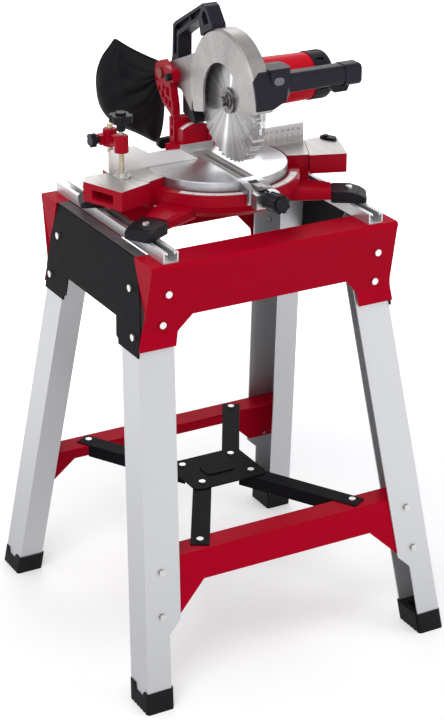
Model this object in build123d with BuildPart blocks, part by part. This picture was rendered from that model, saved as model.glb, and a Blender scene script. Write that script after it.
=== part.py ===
"""Mitre saw on a steel and aluminium stand, built as separate working pieces.

Frame: millimetres, origin on the floor under the middle of the stand, +X to the user's right,
+Y away from the user, +Z up. The saw is shown with its head almost lowered.
"""

import os
from math import acos, atan2, cos, degrees, radians, sin, sqrt

from build123d import *

os.makedirs("parts", exist_ok=True)

# ---------------------------------------------------------------------------
# Driving dimensions
# ---------------------------------------------------------------------------

# stand
STAND_TOP = 700.0  # upper face of the red front and rear panels
TOP_HALF_X = 214.0  # half width of the stand's top
TOP_HALF_Y = 198.0  # half depth of the stand's top
SHEET = 2.0  # thickness of the folded steel panels
LEG_X = 273.5  # where a leg's outer side would meet the floor
LEG_Y = 281.0  # where a leg's front would meet the floor
SLOPE_X = 0.0927  # sideways lean of a leg per millimetre of height
SLOPE_Y = 0.208  # front-to-back lean of a leg per millimetre of height
LEG_TOP = 690.0
LEG_SHEET = 2.5  # thickness of the aluminium legs
LEG_FLANGE = 60.0  # width of a leg's front flange
LEG_WEB = 58.0  # depth of a leg's side web
LEG_NARROW = 41.0  # width of the flanges near the foot
BOOT_X = 47.0  # footprint of a rubber foot, across
BOOT_Y = 62.0  # footprint of a rubber foot, front to back
BOOT_HEIGHT = 33.0
RAIL_X = 178.0  # centre of each mounting rail
RAIL_WIDTH = 25.0
RAIL_HEIGHT = 17.0
RAIL_HALF_LENGTH = 188.0
RAIL_SLOT = 11.0  # opening between a rail's lips
BRACE_TOP = 234.0  # upper face of the lower braces

# saw
RAIL_TOP = STAND_TOP + RAIL_HEIGHT
TABLE_TOP = 777.0
TABLE_R = 112.0  # radius of the turntable
TABLE_GAP = 1.5  # gap round the turntable
SCALE_WALL = 17.5  # wall of the base that carries the scale
BOWL_R = TABLE_R + TABLE_GAP  # radius of the recess the turntable turns in
APRON_R = BOWL_R + SCALE_WALL  # outer radius of the base under the scale
SCALE_Z = 761.5  # upper face of the ring that carries the mitre scale
BOWL_FLOOR = 751.0
FENCE_Y = 19.0  # working face of the fence
BLADE_R = 95.0
BLADE_Y = -44.0
BLADE_Z = 885.0
PIVOT_Y = 129.0  # axis the head chops about
PIVOT_Z = 890.0
MOTOR_Y = -54.0
MOTOR_Z = 909.0
MOTOR_R = 36.5  # at the rear end of the barrel

# fits
RUNNING = 0.05  # radial clearance of a shaft in its bore
SLIDING = 0.3  # gap between faces that move past each other
SEAT = 0.05  # gap round a bolt that fills its own hole


# ---------------------------------------------------------------------------
# Small building helpers, used inside a BuildPart block
# ---------------------------------------------------------------------------


def outline(plane, points, radius=0):
    """A closed polygon on a plane, with every corner rounded when a radius is given."""
    with BuildSketch(plane) as sketch:
        with BuildLine():
            Polyline(*points, close=True)
        make_face()
        if radius:
            fillet(sketch.vertices(), radius)
    return sketch.sketch


def block_x(points, x1, x2, mode=Mode.ADD, radius=0):
    """A prism along X: points are (y, z)."""
    extrude(outline(Plane.YZ.offset(x1), points, radius), amount=x2 - x1, mode=mode)


def block_y(points, y1, y2, mode=Mode.ADD, radius=0):
    """A prism along Y: points are (x, z)."""
    extrude(outline(Plane.XZ.offset(-y1), points, radius), amount=y1 - y2, mode=mode)


def block_z(points, z1, z2, mode=Mode.ADD, radius=0):
    """A prism along Z: points are (x, y)."""
    extrude(outline(Plane.XY.offset(z1), points, radius), amount=z2 - z1, mode=mode)


def box(x1, x2, y1, y2, z1, z2, mode=Mode.ADD, radius=0):
    """A straight box between two corners, its upright edges rounded when a radius is given."""
    block_z([(x1, y1), (x2, y1), (x2, y2), (x1, y2)], z1, z2, mode, radius)


def disc(plane, radius, length, mode=Mode.ADD):
    """A cylinder that starts on a plane's origin and runs along its normal."""
    with BuildSketch(plane) as circle:
        Circle(radius)
    extrude(circle.sketch, amount=length, mode=mode)


def bar_x(y, z, radius, x1, x2, mode=Mode.ADD):
    """A round bar along X."""
    disc(Plane(origin=(x1, y, z), x_dir=(0, 1, 0), z_dir=(1, 0, 0)), radius, x2 - x1, mode)


def bar_y(x, z, radius, y1, y2, mode=Mode.ADD):
    """A round bar along Y."""
    disc(Plane(origin=(x, y1, z), x_dir=(1, 0, 0), z_dir=(0, 1, 0)), radius, y2 - y1, mode)


def bar_z(x, y, radius, z1, z2, mode=Mode.ADD):
    """A round bar along Z."""
    disc(Plane(origin=(x, y, z1)), radius, z2 - z1, mode)


def folded_sheet(plane, points, length, bend, thickness):
    """A folded sheet: its outer surface follows the points, and it lies on their left."""
    with BuildSketch(plane) as section:
        with BuildLine():
            FilletPolyline(*points, radius=bend)
            offset(amount=thickness, side=Side.LEFT)
        make_face()
    extrude(section.sketch, amount=length)


def hex_bolt(plane, shank_r, shank, head_across, head):
    """A hexagon bolt on a plane: the head stands above it and the shank goes down."""
    with BuildSketch(plane) as hexagon:
        RegularPolygon(head_across / 2, 6, major_radius=False)
    extrude(hexagon.sketch, amount=head)
    disc(plane, shank_r, -shank)


def save(part, name):
    """Labels a finished piece and writes its file."""
    part.label = name
    export_step(part, f"parts/{name}.step")


# ---------------------------------------------------------------------------
# Stand: folded panels
# ---------------------------------------------------------------------------

PANEL_CREASE_Z = 585.0  # where the skirt turns outwards
PANEL_BOTTOM = 559.0
PANEL_FLANGE = 59.0  # depth of the red top flange
PANEL_NOTCH_TOP = 607.5  # lower edge of the middle of the red panels
PANEL_FRONT = [
    (214, 702), (214, 682), (217.5, 598), (224.6, 559), (162.3, 559), (158.7, 581),
    (135.5, PANEL_NOTCH_TOP),
]
PANEL_BOLTS = [(183, 652), (187, 599)]  # (x, z) on the front and rear panels
SIDE_BOLTS = [(-129, 648), (-150, 577), (129, 648), (150, 577)]  # (y, z) on the side panels
LEG_BOLTS = [(224, 217), (231, 148)]  # (x, z) where a brace is bolted to a leg
BOLT_R = 3.0
BOLT_HEAD_R = 5.5
BOLT_HEAD = 3.0


def panel_face_y(z):
    """Distance of the red panel's outer face from the middle at a height above the crease."""
    return TOP_HALF_Y - (STAND_TOP - z) * (TOP_HALF_Y - 170.5) / (STAND_TOP - PANEL_CREASE_Z)


def leg_face_y(z):
    """Distance of a leg's front face from the middle at a height."""
    return LEG_Y - SLOPE_Y * z


def leg_face_x(z):
    """Distance of a leg's outer side from the middle at a height."""
    return LEG_X - SLOPE_X * z


def side_face_x(z):
    """Distance of a black side panel's outer face from the middle at a height."""
    return leg_face_x(z) + SHEET + SLIDING


def red_panel():
    """The front panel: a folded sheet cut to the apron shape, with a return at each end."""
    section = [
        (-TOP_HALF_Y + PANEL_FLANGE, STAND_TOP),
        (-TOP_HALF_Y, STAND_TOP),
        (-170.5, PANEL_CREASE_Z),
        (-172.5, PANEL_BOTTOM),
    ]
    shape = PANEL_FRONT + [(-x, z) for x, z in reversed(PANEL_FRONT)]
    corner = [(-195.8, 698), (-139.5, 698), (-141, 690), (-160.5, 641), (-174.5, 610)]
    with BuildPart() as panel:
        folded_sheet(Plane.YZ.offset(-230), section, 460, 5, SHEET)
        block_y(shape, -TOP_HALF_Y - 5, -TOP_HALF_Y + PANEL_FLANGE + 5, Mode.INTERSECT)
        for side in (-1, 1):
            x = side * (TOP_HALF_X - SHEET)
            block_x(corner, x, x + side * SHEET)
        for x, z in PANEL_BOLTS:
            for side in (-1, 1):
                bar_y(side * x, z, BOLT_R + SEAT, -TOP_HALF_Y, -TOP_HALF_Y + PANEL_FLANGE, Mode.SUBTRACT)
        for side in (-1, 1):
            bar_z(side * RAIL_X, -170, BOLT_R + SEAT, STAND_TOP - 5, STAND_TOP + 1, Mode.SUBTRACT)
    return panel.part


front_panel = red_panel()
save(front_panel, "front_panel")
rear_panel = mirror(front_panel, about=Plane.XZ)
save(rear_panel, "rear_panel")


def side_panel():
    """The right side panel: a black sheet with a top flange, two tabs and a raised middle."""
    top = STAND_TOP
    section = [(side_face_x(549), 549), (side_face_x(top), top), (193, top)]
    half = [(138, top + 1), (138, 692), (159, 640), (168, 590), (169, 549), (101, 549),
            (99, 556), (92, 560), (87, 590)]
    shape = half + [(-y, z) for y, z in reversed(half)]
    with BuildPart() as panel:
        folded_sheet(Plane.XZ.offset(-200), section, 400, 4, SHEET)
        block_x(shape, 190, 232, Mode.INTERSECT)
        for y, z in SIDE_BOLTS:
            bar_x(y, z, BOLT_R + SEAT, 190, 232, Mode.SUBTRACT)
    return panel.part


right_panel = side_panel()
save(right_panel, "right_panel")
left_panel = mirror(right_panel, about=Plane.YZ)
save(left_panel, "left_panel")

# ---------------------------------------------------------------------------
# Stand: legs, rubber feet and rails
# ---------------------------------------------------------------------------

LEG_START = 5.0  # height of a leg's lower end inside its foot
LEG_LEAN = (-SLOPE_X, SLOPE_Y, 1.0)  # run of the front right leg


def leaning_extrusion(section, z1, z2, mode=Mode.ADD):
    """Extrudes a section along the front right leg between two heights."""
    length = (z2 - z1) * sqrt(SLOPE_X**2 + SLOPE_Y**2 + 1)
    extrude(section, amount=length, dir=LEG_LEAN, mode=mode)


def leg_corner(z):
    """The front right leg's outer corner at a height."""
    return leg_face_x(z), -leg_face_y(z)


def channel(z, grow=0.0):
    """The leg's channel section at a height: wide front flange, web and narrow back flange."""
    x, y = leg_corner(z)
    t = LEG_SHEET
    points = [
        (x + grow, y - grow),
        (x + grow, y + LEG_WEB + grow),
        (x - LEG_NARROW - grow, y + LEG_WEB + grow),
        (x - LEG_NARROW - grow, y + LEG_WEB - t - grow),
        (x - t - grow, y + LEG_WEB - t - grow),
        (x - t - grow, y + t + grow),
        (x - LEG_FLANGE - grow, y + t + grow),
        (x - LEG_FLANGE - grow, y - grow),
    ]
    return outline(Plane.XY.offset(z), points)


def leg_part():
    """The front right leg with its narrowed foot, its slanted top and its bolt holes."""
    with BuildPart() as leg:
        leaning_extrusion(channel(LEG_START), LEG_START, LEG_TOP)
        # the front flange narrows to the foot over a short slope
        waist = [(100, -1), (leg_face_x(0) - LEG_NARROW, -1), (leg_face_x(117) - LEG_NARROW, 117),
                 (leg_face_x(137) - LEG_FLANGE, 137), (100, 137)]
        block_y(waist, -LEG_Y - 5, -LEG_Y + LEG_WEB, Mode.SUBTRACT)
        # the top is cut on the slant so that it clears the panels
        slant = [(100, 640), (leg_face_x(LEG_TOP) - 48, 640), (leg_face_x(LEG_TOP) - 10, 700), (100, 700)]
        block_y(slant, -200, -50, Mode.SUBTRACT)
        for x, z in LEG_BOLTS + PANEL_BOLTS:
            bar_y(x, z, BOLT_R + SEAT, -leg_face_y(z) - 8, -leg_face_y(z) + 12, Mode.SUBTRACT)
        for y, z in SIDE_BOLTS[:2]:
            bar_x(y, z, BOLT_R + SEAT, 190, 232, Mode.SUBTRACT)
    return leg.part


def boot_part():
    """The front right rubber foot: a slanted boot round the leg with a scalloped rim and a ribbed sole."""
    outer_x = LEG_X + 2
    outer_y = -LEG_Y - 2
    with BuildPart() as boot:
        footprint = [
            (outer_x, outer_y), (outer_x, outer_y + BOOT_Y),
            (outer_x - BOOT_X, outer_y + BOOT_Y), (outer_x - BOOT_X, outer_y),
        ]
        leaning_extrusion(outline(Plane.XY, footprint, 5), 0, BOOT_HEIGHT)
        # the leg's own channel, and the open middle behind it
        leaning_extrusion(channel(LEG_START, SEAT), LEG_START, BOOT_HEIGHT + 2, Mode.SUBTRACT)
        x, y = leg_corner(0)
        box(x - LEG_NARROW + 4, x - 8, y + 9, y + LEG_WEB - 10, 12, 60, Mode.SUBTRACT)
        # scallop in the outer side of the rim
        middle = y + LEG_WEB / 2
        notch = [(middle - 16, 45), (middle - 8, 23), (middle + 14, 23), (middle + 24, 45)]
        block_x(notch, x - 3.5, x + 8, Mode.SUBTRACT)
        # grooves in the sole
        for step in range(-2, 3):
            groove = middle + 10 * step
            box(outer_x - BOOT_X - 1, outer_x + 1, groove - 1.5, groove + 1.5, -1, 2, Mode.SUBTRACT)
    return boot.part


CORNERS = {"fl": (-1, 1), "fr": (1, 1), "rl": (-1, -1), "rr": (1, -1)}


def at_corner(part, corner):
    """A front right piece mirrored to another corner of the stand."""
    x_sign, y_sign = CORNERS[corner]
    if x_sign < 0:
        part = mirror(part, about=Plane.YZ)
    if y_sign < 0:
        part = mirror(part, about=Plane.XZ)
    return part


front_right_leg = leg_part()
front_right_boot = boot_part()
for corner in CORNERS:
    save(at_corner(front_right_leg, corner), f"leg_{corner}")
    save(at_corner(front_right_boot, corner), f"foot_{corner}")


def rail_part():
    """The right mounting rail: a slotted aluminium channel with its opening upwards."""
    half = RAIL_WIDTH / 2
    wall = 2.2
    lip = RAIL_SLOT / 2
    top = RAIL_TOP
    with BuildPart() as rail:
        section = [
            (RAIL_X - half, STAND_TOP), (RAIL_X + half, STAND_TOP), (RAIL_X + half, top),
            (RAIL_X + lip, top), (RAIL_X + lip, top - 4), (RAIL_X + lip + 2, top - 4),
            (RAIL_X + lip + 2, top - wall), (RAIL_X + half - wall, top - wall),
            (RAIL_X + half - wall, STAND_TOP + wall), (RAIL_X - half + wall, STAND_TOP + wall),
            (RAIL_X - half + wall, top - wall), (RAIL_X - lip - 2, top - wall),
            (RAIL_X - lip - 2, top - 4), (RAIL_X - lip, top - 4), (RAIL_X - lip, top),
            (RAIL_X - half, top),
        ]
        block_y(section, -RAIL_HALF_LENGTH, RAIL_HALF_LENGTH)
        for side in (-1, 1):
            bar_z(RAIL_X, side * 170, BOLT_R + SEAT, STAND_TOP - 1, STAND_TOP + wall + 1, Mode.SUBTRACT)
    return rail.part


rail_right = rail_part()
save(rail_right, "rail_right")
save(mirror(rail_right, about=Plane.YZ), "rail_left")

# ---------------------------------------------------------------------------
# Stand: lower braces, centre plate and cross arms
# ---------------------------------------------------------------------------

PLATE_BOLTS = (46.0, 35.0)  # (x, y) of the bolts in the centre plate
BRACE_BOLTS = (140.0, 203.0)  # (x, y) of the bolts in the braces' top flanges
BRACE_FLANGE = 42.0
ARM_WIDTH = 30.0
ARM_DEPTH = 20.0
PLATE_TOP = BRACE_TOP + SHEET + 2


def brace_part():
    """The front brace: a web that leans with the legs, a top flange and splayed ends."""
    gap = LEG_SHEET + SEAT
    top_y = -leg_face_y(BRACE_TOP) + gap
    low_y = -leg_face_y(138) + gap
    section = [(top_y + BRACE_FLANGE, BRACE_TOP), (top_y, BRACE_TOP), (low_y, 138)]
    end_top = leg_face_x(BRACE_TOP) - LEG_SHEET - 0.5
    end_low = leg_face_x(140) - LEG_SHEET - 0.5
    half = [(end_top, BRACE_TOP + 1), (end_low, 140), (203, 140), (152, 189)]
    shape = half + [(-x, z) for x, z in reversed(half)]
    with BuildPart() as brace:
        folded_sheet(Plane.YZ.offset(-280), section, 560, 4, SHEET)
        block_y(shape, -LEG_Y, -150, Mode.INTERSECT)
        # the flange stops where the leg's back flange would be
        for side in (-1, 1):
            for x, z in LEG_BOLTS:
                bar_y(side * x, z, BOLT_R + SEAT, -LEG_Y, -210, Mode.SUBTRACT)
            bar_z(side * BRACE_BOLTS[0], -BRACE_BOLTS[1], BOLT_R + SEAT, 225, 240, Mode.SUBTRACT)
    return brace.part


front_brace = brace_part()
save(front_brace, "front_brace")
save(mirror(front_brace, about=Plane.XZ), "rear_brace")

with BuildPart() as centre_plate:
    plate_x = PLATE_BOLTS[0] + 22
    plate_y = PLATE_BOLTS[1] + 20
    box(-plate_x, plate_x, -plate_y, plate_y, BRACE_TOP + SHEET, PLATE_TOP, radius=14)
    # raised pad in the middle, pressed into the sheet
    box(-26, 26, -18, 18, PLATE_TOP, PLATE_TOP + 2, radius=8)
    with Locations(Plane.XY.offset(PLATE_TOP)):
        with GridLocations(2 * PLATE_BOLTS[0], 2 * PLATE_BOLTS[1], 2, 2):
            Hole(BOLT_R + SEAT)
save(centre_plate.part, "centre_plate")

arm_angle = atan2(BRACE_BOLTS[1] - PLATE_BOLTS[1], BRACE_BOLTS[0] - PLATE_BOLTS[0])
arm_length = sqrt((BRACE_BOLTS[1] - PLATE_BOLTS[1]) ** 2 + (BRACE_BOLTS[0] - PLATE_BOLTS[0]) ** 2)


def arm_plane(x_sign, y_sign):
    """An upright plane at a plate bolt: its normal runs out to the brace bolt, its Y is up."""
    a = x_sign * cos(arm_angle)
    b = y_sign * sin(arm_angle)
    start = (x_sign * PLATE_BOLTS[0], y_sign * PLATE_BOLTS[1], BRACE_TOP)
    return Plane(origin=start, x_dir=(-b, a, 0), z_dir=(a, b, 0))


ARM_END = 14.0  # length of an arm past its bolts
arm_half = ARM_WIDTH / 2
arm_section = [
    (-arm_half, SHEET), (arm_half, SHEET), (arm_half, -ARM_DEPTH), (arm_half - SHEET, -ARM_DEPTH),
    (arm_half - SHEET, 0), (SHEET - arm_half, 0), (SHEET - arm_half, -ARM_DEPTH),
    (-arm_half, -ARM_DEPTH),
]
flange_edge = leg_face_y(BRACE_TOP) - LEG_SHEET - BRACE_FLANGE

with BuildPart() as cross_arms:
    for x_sign, y_sign in CORNERS.values():
        section = outline(arm_plane(x_sign, y_sign).offset(-ARM_END), arm_section)
        extrude(section, amount=arm_length + 2 * ARM_END)
    # only the flat tongue of an arm lies on a brace's flange
    for side in (-1, 1):
        near, far = sorted((side * (flange_edge - 1), side * 240))
        box(-220, 220, near, far, BRACE_TOP - ARM_DEPTH - 1, BRACE_TOP, Mode.SUBTRACT)
    for x, y in (PLATE_BOLTS, BRACE_BOLTS):
        with Locations(Plane.XY.offset(BRACE_TOP + SHEET)):
            with GridLocations(2 * x, 2 * y, 2, 2):
                Hole(BOLT_R + SEAT, depth=SHEET + 1)
save(cross_arms.part, "cross_arms")

# ---------------------------------------------------------------------------
# Stand: bolts
# ---------------------------------------------------------------------------


def bolt(origin, direction, shank):
    """A round-headed bolt: the head stands on the origin, the shank runs against the direction."""
    place = Plane(origin=origin, z_dir=direction)
    disc(place, BOLT_HEAD_R, BOLT_HEAD)
    disc(place, BOLT_R, -shank)


HEAD_TILT_Y = BOLT_HEAD_R * 0.26  # stand-off of a level head on a leaning red panel
HEAD_TILT_LEG = BOLT_HEAD_R * SLOPE_Y + 0.02
HEAD_TILT_SIDE = BOLT_HEAD_R * SLOPE_X + 0.02

with BuildPart() as stand_bolts:
    for side in (-1, 1):
        for end in (-1, 1):
            for x, z in PANEL_BOLTS:
                face = panel_face_y(z) + HEAD_TILT_Y
                reach = face - leg_face_y(z) + LEG_SHEET + 5
                bolt((side * x, end * face, z), (0, end, 0), reach)
            for x, z in LEG_BOLTS:
                bolt((side * x, end * (leg_face_y(z) + HEAD_TILT_LEG), z), (0, end, 0), 10)
            for x, y, top in ((*PLATE_BOLTS, PLATE_TOP), (*BRACE_BOLTS, BRACE_TOP + SHEET)):
                bolt((side * x, end * y, top), (0, 0, 1), 9)
            bolt((side * RAIL_X, end * 170, STAND_TOP + 2.2), (0, 0, 1), 8)
        for y, z in SIDE_BOLTS:
            bolt((side * (side_face_x(z) + HEAD_TILT_SIDE), y, z), (side, 0, 0), 9)
save(stand_bolts.part, "stand_bolts")

# ---------------------------------------------------------------------------
# Saw base
# ---------------------------------------------------------------------------

FOOT_X = RAIL_X
FOOT_Y = (-108.0, 62.0)  # front and rear feet of the saw
FOOT_LENGTH = 56.0
FOOT_WIDTH = 46.0
FOOT_HEIGHT = 18.0
TONGUE_WIDTH = 28.0
WING_BOTTOM = 746.0
ROD_Z = 743.0  # guide rods of the wings
ROD_R = 4.0
ROD_Y = (-20.0, 12.0)
SEAM = 1.0  # gap between the fixed table and a wing

ARM_STARTS = [(98.0, -62.0), (98.0, 34.0)]


def foot_direction(index):
    """Unit direction in plan from the bowl to a right-hand foot."""
    dx = FOOT_X - ARM_STARTS[index][0]
    dy = FOOT_Y[index] - ARM_STARTS[index][1]
    length = sqrt(dx**2 + dy**2)
    return dx / length, dy / length


def casting_arm(index):
    """One tapering arm of the base casting with the tongue that its foot cap grips."""
    a, b = foot_direction(index)
    x, y = ARM_STARTS[index]
    near = Plane(origin=(x, y, 732), x_dir=(-b, a, 0), z_dir=(a, b, 0))
    back = FOOT_LENGTH / 2
    far = Plane(origin=(FOOT_X - back * a, FOOT_Y[index] - back * b, 729), x_dir=(-b, a, 0),
                z_dir=(a, b, 0))
    with BuildSketch(near) as root:
        RectangleRounded(62, 23, 6)
    with BuildSketch(far) as tip:
        RectangleRounded(42, 17, 4)
    loft([root.sketch, tip.sketch])
    tongue_place = Plane(origin=far.origin + Vector(0, 0, -1), x_dir=far.x_dir, z_dir=far.z_dir)
    with BuildSketch(tongue_place) as tongue:
        Rectangle(TONGUE_WIDTH, 9)
    extrude(tongue.sketch, amount=back + 14)


SEAM_FRONT = (142.0, -45.0)  # ends of the seam between table and wing, in plan
SEAM_REAR = (175.0, 26.0)

with BuildPart() as right_half:
    for index in range(2):
        casting_arm(index)
    block_z([(92, -27), SEAM_FRONT, SEAM_REAR, (SEAM_REAR[0], 46), (88, 46)], 736, TABLE_TOP)
left_half = mirror(right_half.part, about=Plane.YZ)

with BuildPart() as base_casting:
    bowl = [
        (12, BOWL_FLOOR), (12, 738), (APRON_R - 19, 738), (APRON_R - 18, 726), (APRON_R - 10, 726), (APRON_R - 3, 734),
        (APRON_R, 744), (APRON_R, SCALE_Z), (BOWL_R, SCALE_Z), (BOWL_R, BOWL_FLOOR),
    ]
    with BuildSketch(Plane.XZ):
        with BuildLine():
            Polyline(*bowl, close=True)
        make_face()
    revolve(axis=Axis.Z)
    add(right_half.part)
    add(left_half)
    # the recess the table turns in, the hollow under its floor, and the low rear wall
    bar_z(0, 0, BOWL_R, BOWL_FLOOR, TABLE_TOP + 1, Mode.SUBTRACT)
    hollow_r = BOWL_R - 5.5
    bar_z(0, 0, hollow_r, 700, BOWL_FLOOR - 3, Mode.SUBTRACT)
    box(-hollow_r, hollow_r, 47, 140, BOWL_FLOOR + 1, TABLE_TOP + 1, Mode.SUBTRACT)
    bar_z(0, 0, 18, 740, BOWL_FLOOR)
    bar_z(0, 0, 12, 730, TABLE_TOP, Mode.SUBTRACT)
    for side in (-1, 1):
        near, far = sorted((side * 44, side * 185))
        for y in ROD_Y:
            bar_x(y, ROD_Z, ROD_R + RUNNING, near, far, Mode.SUBTRACT)
        for y in FOOT_Y:
            bar_z(side * FOOT_X, y, BOLT_R + SEAT, 715, 745, Mode.SUBTRACT)
save(base_casting.part, "base_casting")


def foot_cap(index):
    """The black cap of a right-hand foot: a wedge that falls outwards, gripping the tongue."""
    a, b = foot_direction(index)
    place = Plane(origin=(FOOT_X, FOOT_Y[index], RAIL_TOP), x_dir=(a, b, 0), z_dir=(0, 0, 1))
    side_plane = Plane(origin=(FOOT_X, FOOT_Y[index], RAIL_TOP), x_dir=(a, b, 0), z_dir=(b, -a, 0))
    half = FOOT_LENGTH / 2
    wedge = [(-half, 0), (half, 0), (half, 7), (half - 10, 13), (2, FOOT_HEIGHT), (-half, FOOT_HEIGHT)]
    with BuildSketch(place) as plan:
        RectangleRounded(FOOT_LENGTH, FOOT_WIDTH, 6)
    extrude(plan.sketch, amount=FOOT_HEIGHT)
    side = outline(side_plane.offset(-FOOT_WIDTH), wedge)
    extrude(side, amount=2 * FOOT_WIDTH, mode=Mode.INTERSECT)


def foot_cap_part(index):
    """A cap with the slot for its tongue and the hole for its bolt."""
    a, b = foot_direction(index)
    start = (FOOT_X - FOOT_LENGTH / 2 * a, FOOT_Y[index] - FOOT_LENGTH / 2 * b, 728)
    with BuildPart() as cap:
        foot_cap(index)
        with BuildSketch(Plane(origin=start, x_dir=(-b, a, 0), z_dir=(a, b, 0))):
            Rectangle(TONGUE_WIDTH, 9)
        extrude(amount=FOOT_LENGTH / 2 + 14, mode=Mode.SUBTRACT)
        bar_z(FOOT_X, FOOT_Y[index], BOLT_R + SEAT, 715, 745, Mode.SUBTRACT)
        # flat seat under the bolt's head
        bar_z(FOOT_X, FOOT_Y[index], 8, RAIL_TOP + FOOT_HEIGHT - 1, 745, Mode.SUBTRACT)
    return cap.part


caps = [foot_cap_part(index) for index in range(2)]
caps += [mirror(cap, about=Plane.YZ) for cap in caps]
save(Compound(children=caps), "base_feet")

FENCE_SCREWS = [(124.0, 37.0), (148.0, 37.0)]  # (x, y) of the screws in a fence's foot
FENCE_FOOT = 5.0  # thickness of a fence's bolted foot

with BuildPart() as saw_bolts:
    for side in (-1, 1):
        for x, y in FENCE_SCREWS:
            hex_bolt(Plane(origin=(side * x, y, TABLE_TOP + FENCE_FOOT)), BOLT_R, FENCE_FOOT - 0.1, 9, 4)
        for y in FOOT_Y:
            place = Plane(origin=(side * FOOT_X, y, RAIL_TOP + FOOT_HEIGHT - 1))
            hex_bolt(place, BOLT_R, 28, 10, 4)
            # the nut that grips the rail's lips from below
            with BuildSketch(Plane(origin=(side * FOOT_X, y, RAIL_TOP - 4.05))):
                Rectangle(14, 14)
            extrude(amount=-5)
save(saw_bolts.part, "saw_bolts")

SCALE_HALF_ANGLE = 62.0
with BuildPart() as mitre_scale:
    reach = 200.0
    edge_x = reach * sin(radians(SCALE_HALF_ANGLE))
    edge_y = -reach * cos(radians(SCALE_HALF_ANGLE))
    with BuildSketch(Plane.XY.offset(SCALE_Z)):
        Circle(APRON_R - 1)
        Circle(BOWL_R + 1.5, mode=Mode.SUBTRACT)
        with BuildLine():
            Polyline((0, 0), (-edge_x, edge_y), (-edge_x, -reach), (edge_x, -reach), (edge_x, edge_y),
                     close=True)
        make_face(mode=Mode.INTERSECT)
    extrude(amount=0.8)
save(mitre_scale.part, "mitre_scale")

# ---------------------------------------------------------------------------
# Fence and clamp
# ---------------------------------------------------------------------------

FENCE_BACK = FENCE_Y + 5.0
FENCE_FOOT_Y = 44.0  # rear edge of the fence's bolted foot
CLAMP_X = -166.0
CLAMP_Y = -4.0  # axis of the clamp's screw
POST_Y = 36.0  # axis of the clamp's post
POST_R = 5.0
SCREW_R = 4.0
CLAMP_ARM_Z = (817.0, 844.0)


def fence_bolts(side):
    """Holes for the two screws that hold a fence's foot."""
    for x, y in FENCE_SCREWS:
        bar_z(side * x, y, BOLT_R + SEAT, TABLE_TOP - 1, TABLE_TOP + 30, Mode.SUBTRACT)


with BuildPart() as fence_left:
    face = [
        (-177, TABLE_TOP), (-177, 811), (-173, 815), (-132, 815), (-107, 799), (-52, 797), (-22, TABLE_TOP + 0.5),
        (-112, TABLE_TOP + 0.5), (-114, TABLE_TOP),
    ]
    block_y(face, FENCE_Y, FENCE_BACK)
    block_z([(-177, 20), (-115, 20), (-119, FENCE_FOOT_Y), (-172, FENCE_FOOT_Y)], TABLE_TOP, TABLE_TOP + 5)
    for x in (-176, -138):
        block_x([(22, TABLE_TOP), (FENCE_FOOT_Y - 2, TABLE_TOP), (22, 810)], x, x + 4)
    fence_bolts(-1)
    bar_z(CLAMP_X, POST_Y, POST_R + SEAT, TABLE_TOP - 1, TABLE_TOP + 30, Mode.SUBTRACT)
save(fence_left.part, "fence_left")

with BuildPart() as fence_right:
    face = [
        (170, TABLE_TOP), (170, 808), (96, 808), (96, 797), (52, 797), (22, TABLE_TOP + 0.5),
        (112, TABLE_TOP + 0.5), (114, TABLE_TOP),
    ]
    block_y(face, FENCE_Y, FENCE_BACK)
    block_z([(170, 20), (115, 20), (119, FENCE_FOOT_Y), (168, FENCE_FOOT_Y)], TABLE_TOP, TABLE_TOP + 5)
    for x in (134, 165):
        block_x([(22, TABLE_TOP), (FENCE_FOOT_Y - 2, TABLE_TOP), (22, 804)], x, x + 4)
    fence_bolts(1)
save(fence_right.part, "fence_right")

with BuildPart() as clamp_post:
    bar_z(CLAMP_X, POST_Y, POST_R, TABLE_TOP, 852)
    bar_z(CLAMP_X, POST_Y, POST_R + 0.8, TABLE_TOP + 11, TABLE_TOP + 17)
    chamfer(clamp_post.edges().group_by(Axis.Z)[-1], 1)
save(clamp_post.part, "clamp_post")

with BuildPart() as clamp_arm:
    low, high = CLAMP_ARM_Z
    bar_z(CLAMP_X, POST_Y, 11, low, high)
    bar_z(CLAMP_X, CLAMP_Y, 11, low, high)
    box(CLAMP_X - 7, CLAMP_X + 7, CLAMP_Y, POST_Y, low + 5, high - 5)
    box(CLAMP_X - 19, CLAMP_X, POST_Y - 7, POST_Y + 7, low + 4, high - 8)
    bar_z(CLAMP_X, POST_Y, POST_R + RUNNING, low - 1, high + 1, Mode.SUBTRACT)
    bar_z(CLAMP_X, CLAMP_Y, SCREW_R + RUNNING, low - 1, high + 1, Mode.SUBTRACT)
    bar_x(POST_Y, 829, 2.5 + RUNNING, CLAMP_X - 20, CLAMP_X - POST_R + 1, Mode.SUBTRACT)
    chamfer(clamp_arm.edges().group_by(Axis.Z)[-1].filter_by(GeomType.CIRCLE).sort_by(SortBy.RADIUS)[-2:], 1.5)
save(clamp_arm.part, "clamp_arm")


def lobed_knob(plane, lobes, radius, depth, thickness):
    """A grip with round lobes: a disc on a plane with hollows cut round its rim."""
    with BuildSketch(plane) as grip:
        Circle(radius)
        with PolarLocations(radius + depth * 0.9, lobes):
            Circle(depth * 1.6, mode=Mode.SUBTRACT)
        fillet(grip.vertices(), depth * 0.3)
    extrude(grip.sketch, amount=thickness)


with BuildPart() as clamp_lock_knob:
    end = CLAMP_X - POST_R - 1
    bar_x(POST_Y, 829, 2.5, CLAMP_X - 22, end)
    bar_x(POST_Y, 829, 5, CLAMP_X - 26, CLAMP_X - 20)
    lobed_knob(Plane(origin=(CLAMP_X - 25, POST_Y, 829), x_dir=(0, 1, 0), z_dir=(-1, 0, 0)), 5, 11, 3, 9)
save(clamp_lock_knob.part, "clamp_lock_knob")

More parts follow.
